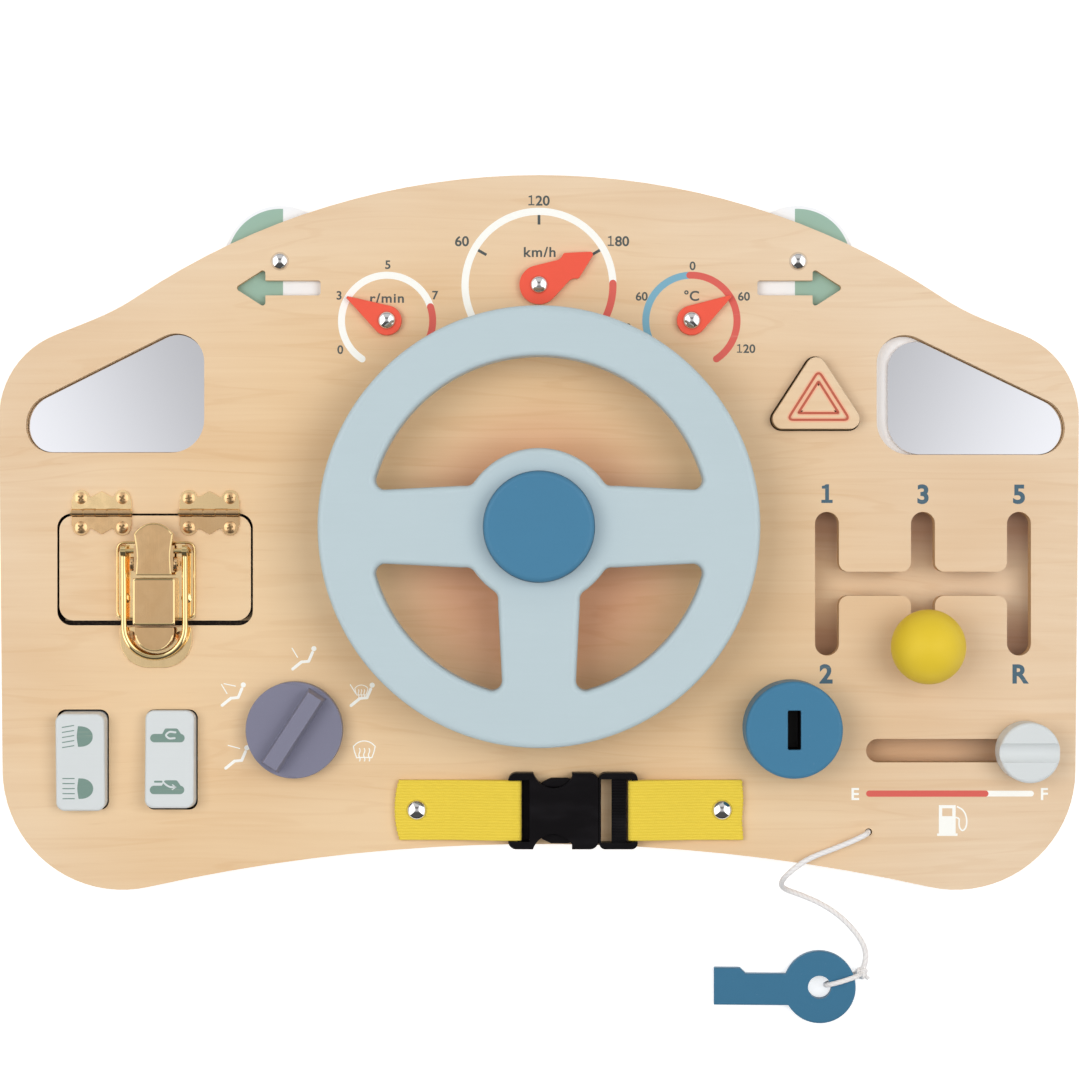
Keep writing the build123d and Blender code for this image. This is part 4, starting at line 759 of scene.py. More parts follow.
class Finish(Wires):
    """One material: its coordinates, an effect group and the Principled shader."""

    def __init__(self, name, **sockets):
        self.material = bpy.data.materials.new(name)
        self.material.use_nodes = True
        super().__init__(self.material.node_tree)
        self.shader = self.tree.nodes["Principled BSDF"]
        for key, value in sockets.items():
            self.shader.inputs[key.replace("_", " ")].default_value = value
        self.where = self.tree.nodes.new("ShaderNodeTexCoord").outputs
        self.place = self.where["Object"]

    def effect(self, name, **inputs):
        """Results of a shared group, by title; its vector is the object's own unless given."""
        made = self.tree.nodes.new("ShaderNodeGroup")
        made.node_tree = bpy.data.node_groups.get(name) or GROUP_MAKERS[name](name)
        for key, value in {"Vector": self.place, **inputs}.items():
            self.put(made.inputs[key], value)
        return {socket.name: Signal(self, socket) for socket in made.outputs}

    def turned(self, degrees=(0.0, 0.0, 0.0), shift=(0.0, 0.0, 0.0)):
        """Object coordinates through a Mapping node, so a grain can be turned and moved."""
        made = self.node("ShaderNodeMapping", Vector=self.place, Location=shift)
        made.inputs["Rotation"].default_value = tuple(math.radians(a) for a in degrees)
        return made.outputs[0]

    def finish(self, film, depth=0.0001):
        """Joins colour, roughness and height to the shader; a height of one stands out by the depth."""
        self.put(self.shader.inputs["Base Color"], film["Color"])
        if "Roughness" in film:
            self.put(self.shader.inputs["Roughness"], film["Roughness"])
        if "Height" in film:
            bump = self.node("ShaderNodeBump", Height=film["Height"], Strength=1.0, Distance=depth)
            self.put(self.shader.inputs["Normal"], bump.outputs[0])
        return self.material


def finished(name, maker, *values):
    """A material by name, made the first time that it is asked for."""
    return bpy.data.materials.get(name) or maker(name, *values)


NARROW_CUTS = [
    (-0.2035, -0.1145, -0.0425, 0.0110),
    (0.0900, 0.1400, 0.0200, 0.0650),
    (-0.2030, -0.1400, -0.1190, -0.0700),
]
LOCK_SLOT = (0.1020, 0.1074, -0.08935, -0.07325)
LOCK_TOP = 0.042
# centre of a broad patch where the veneer is tinted warmer
WARM_PATCH_CENTRE = (-0.04, -0.06)
WHEEL_SHADE_CENTRE = (0.0, -0.012)
COMPARTMENT = (-0.1985, -0.1195, -0.0370, 0.0045)
GEAR_ROWS = (0.1100, 0.2100, -0.0560, 0.0130)
GEAR_CROSSBAR = -0.0219
FUEL_SLOT = (0.1280, 0.1950, -0.1000, -0.0820)


def veneer(name, top, shift=(0.0, 0.0, 0.0), contrast=1.0, warm=(1.0, 0.93, 0.80), scorch_and_shade=0.0, cuts=(),
           pocket_shade=False, wheel_shade=False):
    """Veneered plywood whose face is at a given height; the walls of narrow cuts are scorched, and painted
    near black as the shade in the narrow gaps.

    The wood is warmer over a broad patch left of and below its middle. One face is painted darker and redder
    under the wheel: painted shade of the wheel, seen through its openings.
    """
    look = bpy.context.scene.board_wood
    make = Finish(name, Coat_Roughness=0.42, IOR=1.46, Specular_IOR_Level=0.35)
    wood = make.effect("Veneer grain", Vector=make.turned(shift=shift), Light=look.light, Dark=look.dark,
                       Fleck=look.fleck, Contrast=contrast)
    facing = abs(make.split(make.where["Normal"])[2])
    x, y, _ = make.split(make.place)
    away = make.reach(x, y, *WARM_PATCH_CENTRE) + make.noise(make.place, (12.0, 16.0, 16.0), 1.0) * 0.04
    warmth = make.blend(make.fade(away, 0.26, 0.14), WHITE, warm)
    surface = make.blend(1.0, wood["Color"], warmth, "MULTIPLY")
    if wheel_shade:
        # painted shade: darker and redder round the wheel's hub, where the wheel shades the face
        patch = make.fade(make.reach(x, y, *WHEEL_SHADE_CENTRE), 0.076, 0.032)
        surface = make.tinted(patch, surface, (0.90, 0.69, 0.70))
    # painted shade: upright walls, and all faces inside the narrow cuts, are painted near black as scorch and
    # gap shade
    scorch_and_shade_share = make.fade(facing, 0.97, 0.85) * scorch_and_shade
    for cut in cuts:
        scorch_and_shade_share = make.maths("MAXIMUM", scorch_and_shade_share, make.within(x, y, *cut))
    if pocket_shade:
        scorch_and_shade_share = scorch_and_shade_share * (1.0 - make.within(x, y, *COMPARTMENT))
        # painted shade: the gear tracks' floors are darker away from the crossbar, and the fuel slot's floor
        # is darker
        track_end_shade = make.within(x, y, *GEAR_ROWS) * make.fade(abs(y - GEAR_CROSSBAR), 0.005, 0.024)
        surface = make.tinted(track_end_shade, surface, (0.62, 0.50, 0.48))
        surface = make.tinted(make.within(x, y, *FUEL_SLOT), surface, (0.86, 0.74, 0.66))
    ply = make.effect("Ply edge", Surface=surface, Light=look.ply_light, Dark=look.ply_dark, Burnt=look.scorch_and_shade,
                      Upright=make.fade(facing, 0.8, 0.5), Burn=scorch_and_shade_share, Top=top, Pitch=look.ply_pitch)
    make.put(make.shader.inputs["Coat Weight"], (1.0 - ply["Edge"]) * 0.12)
    rough = (wood["Roughness"] + ply["Edge"] * 0.5).clamped()
    film = {"Color": ply["Color"], "Roughness": rough, "Height": wood["Height"] + ply["Height"]}
    return make.finish(film, 0.00005)


def dowel(name):
    """Bare turned wood, its grain standing on end."""
    look = bpy.context.scene.board_wood
    make = Finish(name, IOR=1.46, Specular_IOR_Level=0.3)
    where = make.turned(degrees=(0.0, 90.0, 0.0))
    wood = make.effect("Veneer grain", Vector=where, Light=look.dowel, Dark=look.ply_dark, Fleck=look.fleck,
                       Contrast=0.8)
    return make.finish(wood, 0.00008)


def paint(name, colour, cloud=0.07, gloss=0.10):
    """Sprayed paint under a thin clear coat."""
    make = Finish(name, Coat_Weight=gloss, Coat_Roughness=0.35, IOR=1.47, Specular_IOR_Level=0.35)
    return make.finish(make.effect("Paint film", Paint=colour, Cloud=cloud), 0.00003)


def lock_paint(name, colour):
    """Blue paint that stops at the mouth of the key slot, whose inside is painted near black as painted
    shade.
    """
    make = Finish(name, Coat_Weight=0.10, Coat_Roughness=0.35, IOR=1.47, Specular_IOR_Level=0.2)
    x, y, z = make.split(make.place)
    # painted shade: near black inside the key slot, below its mouth
    slot = make.within(x, y, *LOCK_SLOT) * make.fade(z, LOCK_TOP - 0.0004, LOCK_TOP - 0.0008)
    film = make.effect("Paint film", Paint=colour, Cloud=0.07)
    film["Color"] = make.blend(slot, film["Color"], (0.006, 0.005, 0.005))
    return make.finish(film, 0.00003)


def metal(name, bright, shade, smooth=0.12, rough=0.3, depth=0.00001, lit_low_plates=None):
    """Plated metal; plates that lie on the face can be painted lighter than what stands above them, as
    painted light on the flat brass.
    """
    make = Finish(name, Metallic=1.0)
    if lit_low_plates:
        # painted light: the low flat plates take the paler tint
        raised = make.fade(make.split(make.place)[2], FACE + 0.0014, FACE + 0.0018)
        bright, shade = (make.blend(raised, lit_low_plates, tone) for tone in (bright, shade))
    film = make.effect("Plated metal", Bright=bright, Shade=shade, Smooth=smooth, Rough=rough)
    return make.finish(film, depth)


def plastic(name):
    """Black moulded plastic with little shine."""
    make = Finish(name, IOR=1.5, Specular_IOR_Level=0.07)
    return make.finish(make.effect("Moulded grain", Plastic=bpy.context.scene.board_strap.plastic), 0.00003)


def ink_finish(name, colour):
    """Screen ink of one colour over the board's light wood."""
    make = Finish(name, IOR=1.45, Specular_IOR_Level=0.3)
    film = make.effect("Screen ink", Ink=colour, Wood=bpy.context.scene.board_wood.light)
    return make.finish(film, 0.00002)


def dress(material, *names):
    """Gives CAD nodes one material on every slot."""
    for name in names:
        slots = NODES[name].data.materials
        slots.clear()
        slots.append(material)


class BoardOperator:
    """What all the board's operators share."""

    bl_options = {"REGISTER"}


# ------------------------------------------------------------------
# stage
# ------------------------------------------------------------------
def place_camera(look):
    """Straight down on the middle of the board."""
    camera = bpy.data.cameras.new("camera")
    camera.lens = 100.0
    camera.sensor_width = 36.0
    camera.clip_end = 10.0
    thing = linked("camera", camera)
    thing.location = (0.00042, -0.00333, FACE + look.distance)
    bpy.context.scene.camera = thing


def place_lamp(name, place, aim, size, power):
    """Soft rectangular lamp at a place, turned to an aim point."""
    light = bpy.data.lights.new(name, "AREA")
    light.shape = "RECTANGLE"
    light.size, light.size_y = size
    light.energy = power
    thing = linked(name, light)
    away = np.array(place) - np.array(aim)
    flat = math.hypot(away[0], away[1])
    thing.location = place
    thing.rotation_euler = (math.atan2(flat, away[2]), 0.0, math.atan2(away[0], -away[1]))
    thing.visible_glossy = False
    thing.visible_camera = False


def paint_sky(look):
    """Even light for matt surfaces; white to the camera; two tall soft boxes with a dim gap for shine."""
    world = bpy.data.worlds.new("studio")
    bpy.context.scene.world = world
    world.use_nodes = True
    w = Wires(world.node_tree)
    world.node_tree.nodes.clear()
    x, y, z = w.split(w.node("ShaderNodeTexCoord").outputs["Generated"])
    across = abs(x)
    below = w.maths("MAXIMUM", y * -1.05, 0.0)
    above = w.maths("MAXIMUM", y * 0.45, 0.0)
    side = across - (below + above)
    box = w.fade(side, 0.07, 0.17) * w.fade(across, 0.25, 0.50, 1.0, 2.6)
    gap = w.fade(y, -0.40, -0.10, 0.10, 0.54)
    gap = gap + w.fade(y, 0.15, 0.30, 0.0, -0.32) + w.fade(y, 0.45, 0.60, 0.0, 0.50)
    shine = (gap + box * (1.0 - gap)) * w.fade(z, 0.04, 0.34, 0.35, 1.0)
    path = w.node("ShaderNodeLightPath").outputs
    soft, white, glossy = (
        w.node("ShaderNodeBackground", Color=colour, Strength=strength).outputs[0]
        for colour, strength in (((0.97, 0.985, 1.0), look.sky), (WHITE, 1.0), (WHITE, shine))
    )
    polished = w.maths("MAXIMUM", path["Is Glossy Ray"], path["Is Transmission Ray"])
    first = w.node("ShaderNodeMixShader", numbered=(polished, soft, glossy)).outputs[0]
    last = w.node("ShaderNodeMixShader", numbered=(path["Is Camera Ray"], first, white)).outputs[0]
    w.node("ShaderNodeOutputWorld", numbered=(last,))


def lay_floor(look):
    """Pale floor that keeps the shadow and is lifted to white for the camera."""
    side, depth = 4.0, -0.0002
    mesh = bpy.data.meshes.new("floor")
    corners = [(x, y, depth) for x, y in box_outline(-side, side, -side, side)]
    mesh.from_pydata(corners, [], [[0, 1, 2, 3]])
    thing = linked("floor", mesh)
    make = Finish("pale_floor", Roughness=0.9, Specular_IOR_Level=0.1)
    mottle = make.noise(make.place, (30.0, 30.0, 30.0))
    pale = make.blend(make.fade(mottle, 0.3, 0.7, 0.0, 0.4), look.floor, (0.86, 0.86, 0.865))
    make.finish({"Color": pale})
    path = make.node("ShaderNodeLightPath").outputs
    seen = make.maths("MAXIMUM", path["Is Camera Ray"], path["Is Glossy Ray"])
    seen = make.maths("MAXIMUM", seen, path["Is Transmission Ray"])
    lift = make.node("ShaderNodeEmission", Color=WHITE, Strength=seen * 0.50)
    both = make.node("ShaderNodeAddShader", numbered=(make.shader.outputs[0], lift.outputs[0]))
    make.put(make.tree.nodes["Material Output"].inputs["Surface"], both.outputs[0])
    mesh.materials.append(make.material)


class BOARD_OT_stage(BoardOperator, Operator):
    """Camera straight above, two soft side lamps, an even sky and a pale floor"""

    bl_idname = "board.stage"
    bl_label = "Stage"

    def execute(self, context):
        look = context.scene.board_stage
        place_camera(look)
        for name, x in (("left_lamp", -0.62), ("right_lamp", 0.62)):
            place_lamp(name, (x, 0.06, 1.28), (0.0, 0.0, 0.0), (0.8, 0.8), look.lamp)
        paint_sky(look)
        lay_floor(look)
        context.scene.view_settings.view_transform = "Standard"
        return {"FINISHED"}


# ------------------------------------------------------------------
# cord, its loop and knot
# ------------------------------------------------------------------
CORD_ROUTE = [
    (0.1373, -0.1250, 0.0180),
    (0.1373, -0.1250, 0.0250),
    (0.1305, -0.1283, 0.0252),
    (0.1225, -0.1319, 0.0228),
    (0.1148, -0.1346, 0.0237),
    (0.1090, -0.1373, 0.0255),
    (0.1024, -0.1430, 0.0239),
    (0.1012, -0.1472, 0.0140),
    (0.1032, -0.1506, 0.0046),
    (0.1106, -0.1534, 0.00135),
    (0.1198, -0.1573, 0.0013),
    (0.1280, -0.1629, 0.0013),
    (0.1345, -0.1698, 0.0013),
    (0.1382, -0.1762, 0.0013),
    (0.1384, -0.1818, 0.0016),
    (0.1363, -0.1862, 0.0030),
]
CORD_STEP = 0.00035  # between the rings of points along a cord
KEY_CENTRE = np.array([0.1185, -0.1918])
LOOP_HEADING = heading(17.4)
LOOP_PLACES = [(0.0187, 0.0031), (0.0172, 0.0078), (0.0120, 0.0094), (0.0062, 0.0090), (0.0026, 0.0066),
               (0.0026, 0.0030), (0.0060, 0.00125), (0.0125, 0.00125), (0.0168, 0.0013), (0.0187, 0.0031)]


def spline_points(places):
    """Points along a NURBS spline of order 3 that has these control points."""
    curve = bpy.data.curves.new("route", "CURVE")
    curve.dimensions = "3D"
    curve.resolution_u = 14
    spline = curve.splines.new("NURBS")
    spline.points.add(len(places) - 1)
    spline.points.foreach_set("co", np.column_stack([np.array(places), np.ones(len(places))]).ravel())
    spline.order_u = 3
    spline.use_endpoint_u = True
    return read_curve(curve)[0]


def evenly(points, step, closed=False):
    """The same line with points a fixed step apart, by linear interpolation of length."""
    line = np.vstack([points, points[:1]]) if closed else points
    run = run_along(line)
    count = max(8, int(run[-1] / step))
    where = np.linspace(0.0, run[-1], count + 1)
    if closed:
        where = where[:-1]
    return np.column_stack([np.interp(where, run, line[:, k]) for k in range(3)]), where


def steady_frames(along):
    """Two normals at each point that turn as little as they can: each is the last one, made square again."""
    side = np.zeros_like(along)
    side[0] = unit(np.cross(along[0], [0.3, 1.0, 0.2]))
    for k in range(1, len(along)):
        side[k] = unit(side[k - 1] - along[k] * np.dot(side[k - 1], along[k]))
    return side, np.cross(along, side)


def twisted(points, radius, pitch, closed=False, strands=3, around=24):
    """Twisted cord along points: the radius is R * (0.93 + 0.07 * |cos(strands * phi / 2)|).

    phi is the angle round the cord less 2 pi * length / pitch, so the strands' crowns wind along it.
    """
    path, where = evenly(points, CORD_STEP, closed)
    along = np.roll(path, -1, axis=0) - np.roll(path, 1, axis=0) if closed else np.gradient(path, axis=0)
    side, up = steady_frames(unit(along))
    angle = np.linspace(0.0, 2 * math.pi, around, endpoint=False)
    phi = angle[None, :] - 2 * math.pi * where[:, None] / pitch
    reach = radius * (0.93 + 0.07 * np.abs(np.cos(strands * phi / 2)))
    ring = side[:, None, :] * np.cos(angle)[None, :, None] + up[:, None, :] * np.sin(angle)[None, :, None]
    places = path[:, None, :] + ring * reach[:, :, None]
    count = len(path)
    uv = np.stack([np.broadcast_to(where[:, None], phi.shape), phi / (2 * math.pi)], axis=2).reshape(-1, 2)
    body = places.reshape(-1, 3)
    triangles = halves(grid_faces(count, around, close_rows=closed, close_columns=True))
    if not closed:
        body = np.vstack([body, path[:1], path[-1:]])
        uv = np.vstack([uv, uv[:1], uv[-1:]])
        j = np.arange(around)
        k = (j + 1) % around
        near = np.column_stack([np.full(around, count * around), k, j])
        base = (count - 1) * around
        far = np.column_stack([np.full(around, count * around + 1), base + j, base + k])
        triangles = np.vstack([triangles, near, far])
    return (body, triangles), uv, path


def cotton(name):
    """Soft cord: painted paler on the crowns of the strands and darker between them as painted shade, with
    fine fibres wound along them.
    """
    look = bpy.context.scene.board_cord
    make = Finish(name, Roughness=0.85, Sheen_Weight=0.25, Sheen_Roughness=0.5, Specular_IOR_Level=0.15)
    u, v, _ = make.split(make.where["UV"])
    # painted shade: darker between the strands, paler on their crowns
    crown = abs(make.maths("COSINE", v * (3.0 * math.pi)))
    wound = make.node("ShaderNodeCombineXYZ", X=u * 900.0, Y=v * 22.0).outputs[0]
    fibres = make.noise(wound, None, 3.0, 0.6)
    tone = make.fade(crown, 0.05, 0.75) * make.fade(fibres, 0.2, 0.7, 0.8, 1.0)
    return make.finish({"Color": make.blend(tone, look.shade, look.cotton), "Height": fibres}, 0.00008)


def knot_points(centre, size):
    """Trefoil: (sin t + 2 sin 2t, cos t - 2 cos 2t, -1.3 sin 3t), squeezed into a small ball."""
    t = np.linspace(0.0, 2 * math.pi, 60, endpoint=False)
    across, along = np.sin(t) + 2 * np.sin(2 * t), np.cos(t) - 2 * np.cos(2 * t)
    shape = np.column_stack([across, along, -1.3 * np.sin(3 * t)])
    return centre + shape * size / 3.0


class BOARD_OT_cord(BoardOperator, Operator):
    """Twisted cotton cord from the face to the key, with its loop through the key and the knot"""

    bl_idname = "board.cord"
    bl_label = "Cord"

    def execute(self, context):
        look = context.scene.board_cord
        material = finished("cotton_cord", cotton)
        shape, uv, path = twisted(spline_points(CORD_ROUTE), look.radius, look.pitch)
        cord = piece("twisted_cord", shape, material, smooth=True, uv=uv)
        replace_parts(cord, "key_cord")
        flat = np.array(LOOP_PLACES)
        ring = np.column_stack([KEY_CENTRE + flat[:, :1] * LOOP_HEADING, flat[:, 1]])
        loop, loop_uv, _ = twisted(spline_points(ring), look.radius * 0.92, look.pitch)
        middle = np.array([*(KEY_CENTRE + 0.0187 * LOOP_HEADING), 0.0033])
        knot, knot_uv, _ = twisted(knot_points(middle, 0.0019), look.radius * 0.8, look.pitch, closed=True)
        tail_way = np.array([[0, 0, -0.0012], [0.0016, -0.0012, -0.0008], [0.0030, -0.0027, -0.0010]])
        tail, tail_uv, _ = twisted(spline_points(middle + tail_way), look.radius * 0.7, look.pitch)
        whole = joined([loop, knot, tail])
        tied = piece("loop_and_knot", whole, material, smooth=True,
                     uv=np.vstack([loop_uv, knot_uv, tail_uv]))
        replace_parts(tied, "key_loop")
        dress(paint("painted_key", context.scene.board_paint.key, 0.06), "key")
        key = softened("key", 0.0005)
        dress(material, "cord_stop_knot")
        return {"FINISHED"}


# ------------------------------------------------------------------
# panels and other wood
# ------------------------------------------------------------------
class BOARD_OT_panels(BoardOperator, Operator):
    """Maple veneer and plywood edges for the panels, the boss, the door and the warning button"""

    bl_idname = "board.panels"
    bl_label = "Panels"

    def execute(self, context):
        dress(veneer("maple_face", FACE, cuts=NARROW_CUTS, wheel_shade=True), "front_panel")
        core = veneer("maple_core", CORE_TOP, shift=(0.3, 0.17, 0.0), warm=(0.97, 0.88, 0.72),
                      cuts=NARROW_CUTS, pocket_shade=True)
        dress(core, "core_panel")
        dress(veneer("maple_back", BACK_TOP, shift=(0.7, 0.31, 0.0)), "back_panel")
        dress(veneer("maple_boss", BOSS_TOP, shift=(0.1, 0.4, 0.0)), "steering_boss")
        # the door's and the button's walls are painted dark: scorch and painted shade in their gaps
        dress(veneer("maple_door", FACE, shift=(0.05, 0.63, 0.0), scorch_and_shade=1.0), "door_panel")
        button = veneer("maple_button", HAZARD_TOP, shift=(0.9, 0.22, 0.0), contrast=0.7, scorch_and_shade=0.5)
        dress(button, "hazard_button")
        dress(finished("beech_dowel", dowel), "gear_stem", "gear_retainer", "fuel_stem", "fuel_retainer")
        return {"FINISHED"}


# ------------------------------------------------------------------
# printed marks
# ------------------------------------------------------------------
def ticks(x, y, radius, headings, reach):
    """Short radial lines, from a radius inwards."""
    ends = [[heading(degrees) * r + [x, y] for r in (radius, radius - reach)] for degrees in headings]
    return [ink(line, 1.15, round_ends=False) for line in ends]


class BOARD_OT_gauges(BoardOperator, Operator):
    """Arcs, ticks, numbers and words of the three gauges"""

    bl_idname = "board.gauges"
    bl_label = "Gauge print"

    def execute(self, context):
        look = context.scene.board_print
        wide = look.arc / MM
        small = look.small_arc / MM
        speed, revs, heat = (0, 102.8, 30.8), (-63.3, 88, 19), (63.5, 88, 19)
        red_arcs = ((speed, 1.5, -34, wide), (revs, 18, -56.7, small), (heat, 92, -56.7, small))
        lines = [ink(arc(*speed, 214, 2), wide), ink(arc(*revs, 236.7, 18), small)]
        piece("gauge_white_arcs", joined(lines), finished("white_ink", ink_finish, look.white))
        lines = [ink(arc(*gauge, start, end), width, lift=LIFT) for gauge, start, end, width in red_arcs]
        piece("gauge_red_arcs", joined(lines), finished("red_ink", ink_finish, look.red))
        blue = finished("blue_ink", ink_finish, look.blue)
        piece("gauge_blue_arc", ink(arc(*heat, 236.7, 94), small), blue)
        tall = look.gauge_height
        low = look.small_height
        words = [lettering(word, x, y, height) for word, x, y, height in (
            ("120", 0.0, 0.1382, tall), ("60", -0.0321, 0.1213, tall), ("180", 0.0331, 0.1213, tall),
            ("0", 0.0372, 0.0852, low), ("5", -0.0630, 0.1115, low), ("3", -0.0833, 0.0987, low),
            ("7", -0.0432, 0.0988, low), ("0", -0.0828, 0.0761, low), ("0", 0.0640, 0.1110, low),
            ("60", 0.0428, 0.0983, low), ("60", 0.0854, 0.0983, low), ("120", 0.0863, 0.0765, low),
            ("°C", 0.0636, 0.0985, tall),
        )]
        words.append(lettering("km/h", 0.0003, 0.1168, tall, squeeze=1.08, spacing=1.12))
        words.append(lettering("r/min", -0.0633, 0.0976, tall * 0.94, squeeze=1.12, spacing=1.12))
        words += ticks(*speed[:2], 29.3, (90, 150, 30), 4.0)
        piece("gauge_words", joined(words), finished("grey_ink", ink_finish, look.grey))
        return {"FINISHED"}


class BOARD_OT_gear_marks(BoardOperator, Operator):
    """Numbers round the gear track"""

    bl_idname = "board.gear_marks"
    bl_label = "Gear numbers"

    def execute(self, context):
        look = context.scene.board_print
        slate = finished("slate_ink", ink_finish, look.slate)
        places = [("1", 0.120, 0.0160), ("3", 0.160, 0.0160), ("5", 0.200, 0.0160),
                  ("2", 0.1196, -0.0589), ("4", 0.160, -0.0589), ("R", 0.2007, -0.0589)]
        words = [lettering(word, x, y, look.gear_height, squeeze=1.02, weight=0.034) for word, x, y in places]
        piece("gear_numbers", joined(words), slate)
        return {"FINISHED"}


class BOARD_OT_fuel_marks(BoardOperator, Operator):
    """Bar, letters and pump symbol below the fuel slot"""

    bl_idname = "board.fuel_marks"
    bl_label = "Fuel print"

    def execute(self, context):
        look = context.scene.board_print
        white = finished("white_ink", ink_finish, look.white)
        red = finished("red_ink", ink_finish, look.red)
        body = box_outline(166.6, 173.6, -125.7, -113.8)
        window = box_outline(168.0, 172.2, -118.4, -115.1)
        hose = [(174.4, -114.5), (176.4, -115.7), (177.7, -117.7), (178.2, -119.8), (178.1, -122.0),
                (177.5, -123.6), (176.5, -124.4), (175.4, -123.4), (175.0, -121.4), (174.9, -119.4),
                (173.8, -118.9)]
        marks = [
            ink([(180.0, -109.0), (205.0, -109.0)], 2.4),
            lettering("E", 0.1318, -0.1090, 0.0051, weight=0.02),
            lettering("F", 0.2106, -0.1090, 0.0051, weight=0.02),
            ink_area(body, holes=[window]),
            ink_area(box_outline(165.9, 174.4, -126.6, -125.6), lift=0.000005),
            ink(smooth_line(hose, 40), 0.65, lift=0.000008),
        ]
        piece("fuel_white_marks", joined(marks), white)
        piece("fuel_red_bar", ink([(137.6, -109.0), (186.0, -109.0)], 2.6, lift=LIFT), red)
        return {"FINISHED"}


def sitting_person(x, y, arrows):
    """Small seated person with arrow lines, at a centre in millimetres."""
    here = np.array([x, y])
    angle = np.linspace(0.0, 2 * math.pi, 20, endpoint=False)
    marks = [ink_area(here + [4.6, 4.1] + 1.08 * np.column_stack([np.cos(angle), np.sin(angle)]))]
    joints = np.array([[4.0, 2.5], [2.45, -1.15], [-0.55, -1.45], [-4.2, -4.4]])  # shoulder, hip, knee, foot
    for number, width in enumerate((1.2, 1.15, 1.25)):
        marks.append(ink(here + joints[number:number + 2], width, lift=LAYER * number))
    for number, line in enumerate(arrows):
        marks.append(ink(here + np.array(line), 0.42, lift=LAYER * (number + 1)))
    return marks


def windscreen(x, y, size, width):
    """Curved screen outline with three rising wavy lines."""
    here = np.array([x, y])
    top = [[-4.55, 2.0], [-2.6, 3.6], [0.0, 4.25], [2.6, 3.6], [4.55, 2.0]]
    left = np.array([[-4.55, 2.0], [-4.0, -0.4], [-3.15, -2.75]])
    lower = [[-3.15, -2.75], [0.0, -2.6], [3.15, -2.75]]
    wave_y = np.linspace(1.1, -4.1, 16)
    wave_x = 0.26 * np.sin((1.1 - wave_y) * 1.75)
    waves = [np.column_stack([wave_x + shift, wave_y]) for shift in (-2.0, 0.0, 2.0)]
    frame_lines = [smooth_line(line) for line in (top, left, left * [-1, 1], lower)]
    return [ink(here + line * size, width, lift=LAYER * min(number, len(frame_lines)))
            for number, line in enumerate(frame_lines + waves)]


class BOARD_OT_climate_marks(BoardOperator, Operator):
    """Five ventilation symbols round the climate knob"""

    bl_idname = "board.climate_marks"
    bl_label = "Climate print"

    def execute(self, context):
        look = context.scene.board_print
        steep = [(-4.5, 4.3), (-2.2, 0.5)]
        level = [(-3.4, 4.6), (1.3, 3.6)]
        marks = sitting_person(-98.4, -52.7, [steep])
        marks += sitting_person(-127.8, -67.8, [steep, level])
        marks += sitting_person(-126.3, -94.0, [[(-3.2, 5.1), (1.6, 3.8)]])
        marks += sitting_person(-74.1, -67.9, [steep])
        marks += windscreen(-74.0, -66.3, 0.60, 0.32)
        marks += windscreen(-72.8, -91.3, 1.0, 0.46)
        piece("climate_symbols", joined(marks), finished("white_ink", ink_finish, look.white))
        return {"FINISHED"}


# ------------------------------------------------------------------
# switches
# ------------------------------------------------------------------
ROCKER_TOP = 0.012  # height of a rocker's face over its rod
ROCKER_ROD = np.array([0.0, -0.0948, 0.017])
ROCKER_TILT = math.radians(3.5)


def on_rocker(shape, side):
    """Lifts a flat mark onto a rocker's top, which is tilted about its rod to one side."""
    points, faces = shape
    tilt = ROCKER_TILT * side
    moved = points - ROCKER_ROD
    moved[:, 2] = points[:, 2] - FACE + ROCKER_TOP
    x, y, z = moved.T
    turned = [x, y * math.cos(tilt) - z * math.sin(tilt), y * math.sin(tilt) + z * math.cos(tilt)]
    return np.column_stack(turned) + ROCKER_ROD, faces


def lamp_symbol(x, y, slant):
    """Headlamp: a D with a bowed back, its front x = 6 cos(t)^0.8, y = 4.3 sin(t), and five beams."""
    back = smooth_line([(x + 0.35, y + 4.3), (x - 0.15, y), (x + 0.35, y - 4.3)], 14)
    angle = np.radians(np.linspace(86, -86, 24))
    front = np.column_stack([x + 0.45 + 6.0 * np.cos(angle) ** 0.8, y + 4.3 * np.sin(angle)])
    marks = [ink_area(np.vstack([back[::-1], front]))]
    for row in y + np.linspace(4.2, -4.2, 5):
        marks.append(ink([(x - 6.1, row - slant / 2), (x - 1.4, row + slant / 2)], 0.44))
    return marks


def car_symbol(x, y):
    """Side view of a small car: a body with round ends and a cabin on its right half."""
    body = ink([(x - 5.4, y), (x + 5.4, y)], 3.5)
    cabin = rounded([(x - 2.5, y + 1.0), (x + 6.1, y + 1.0), (x + 4.1, y + 4.0), (x - 1.0, y + 4.0)], 0.7)
    return [body, ink_area(cabin, lift=LIFT)]


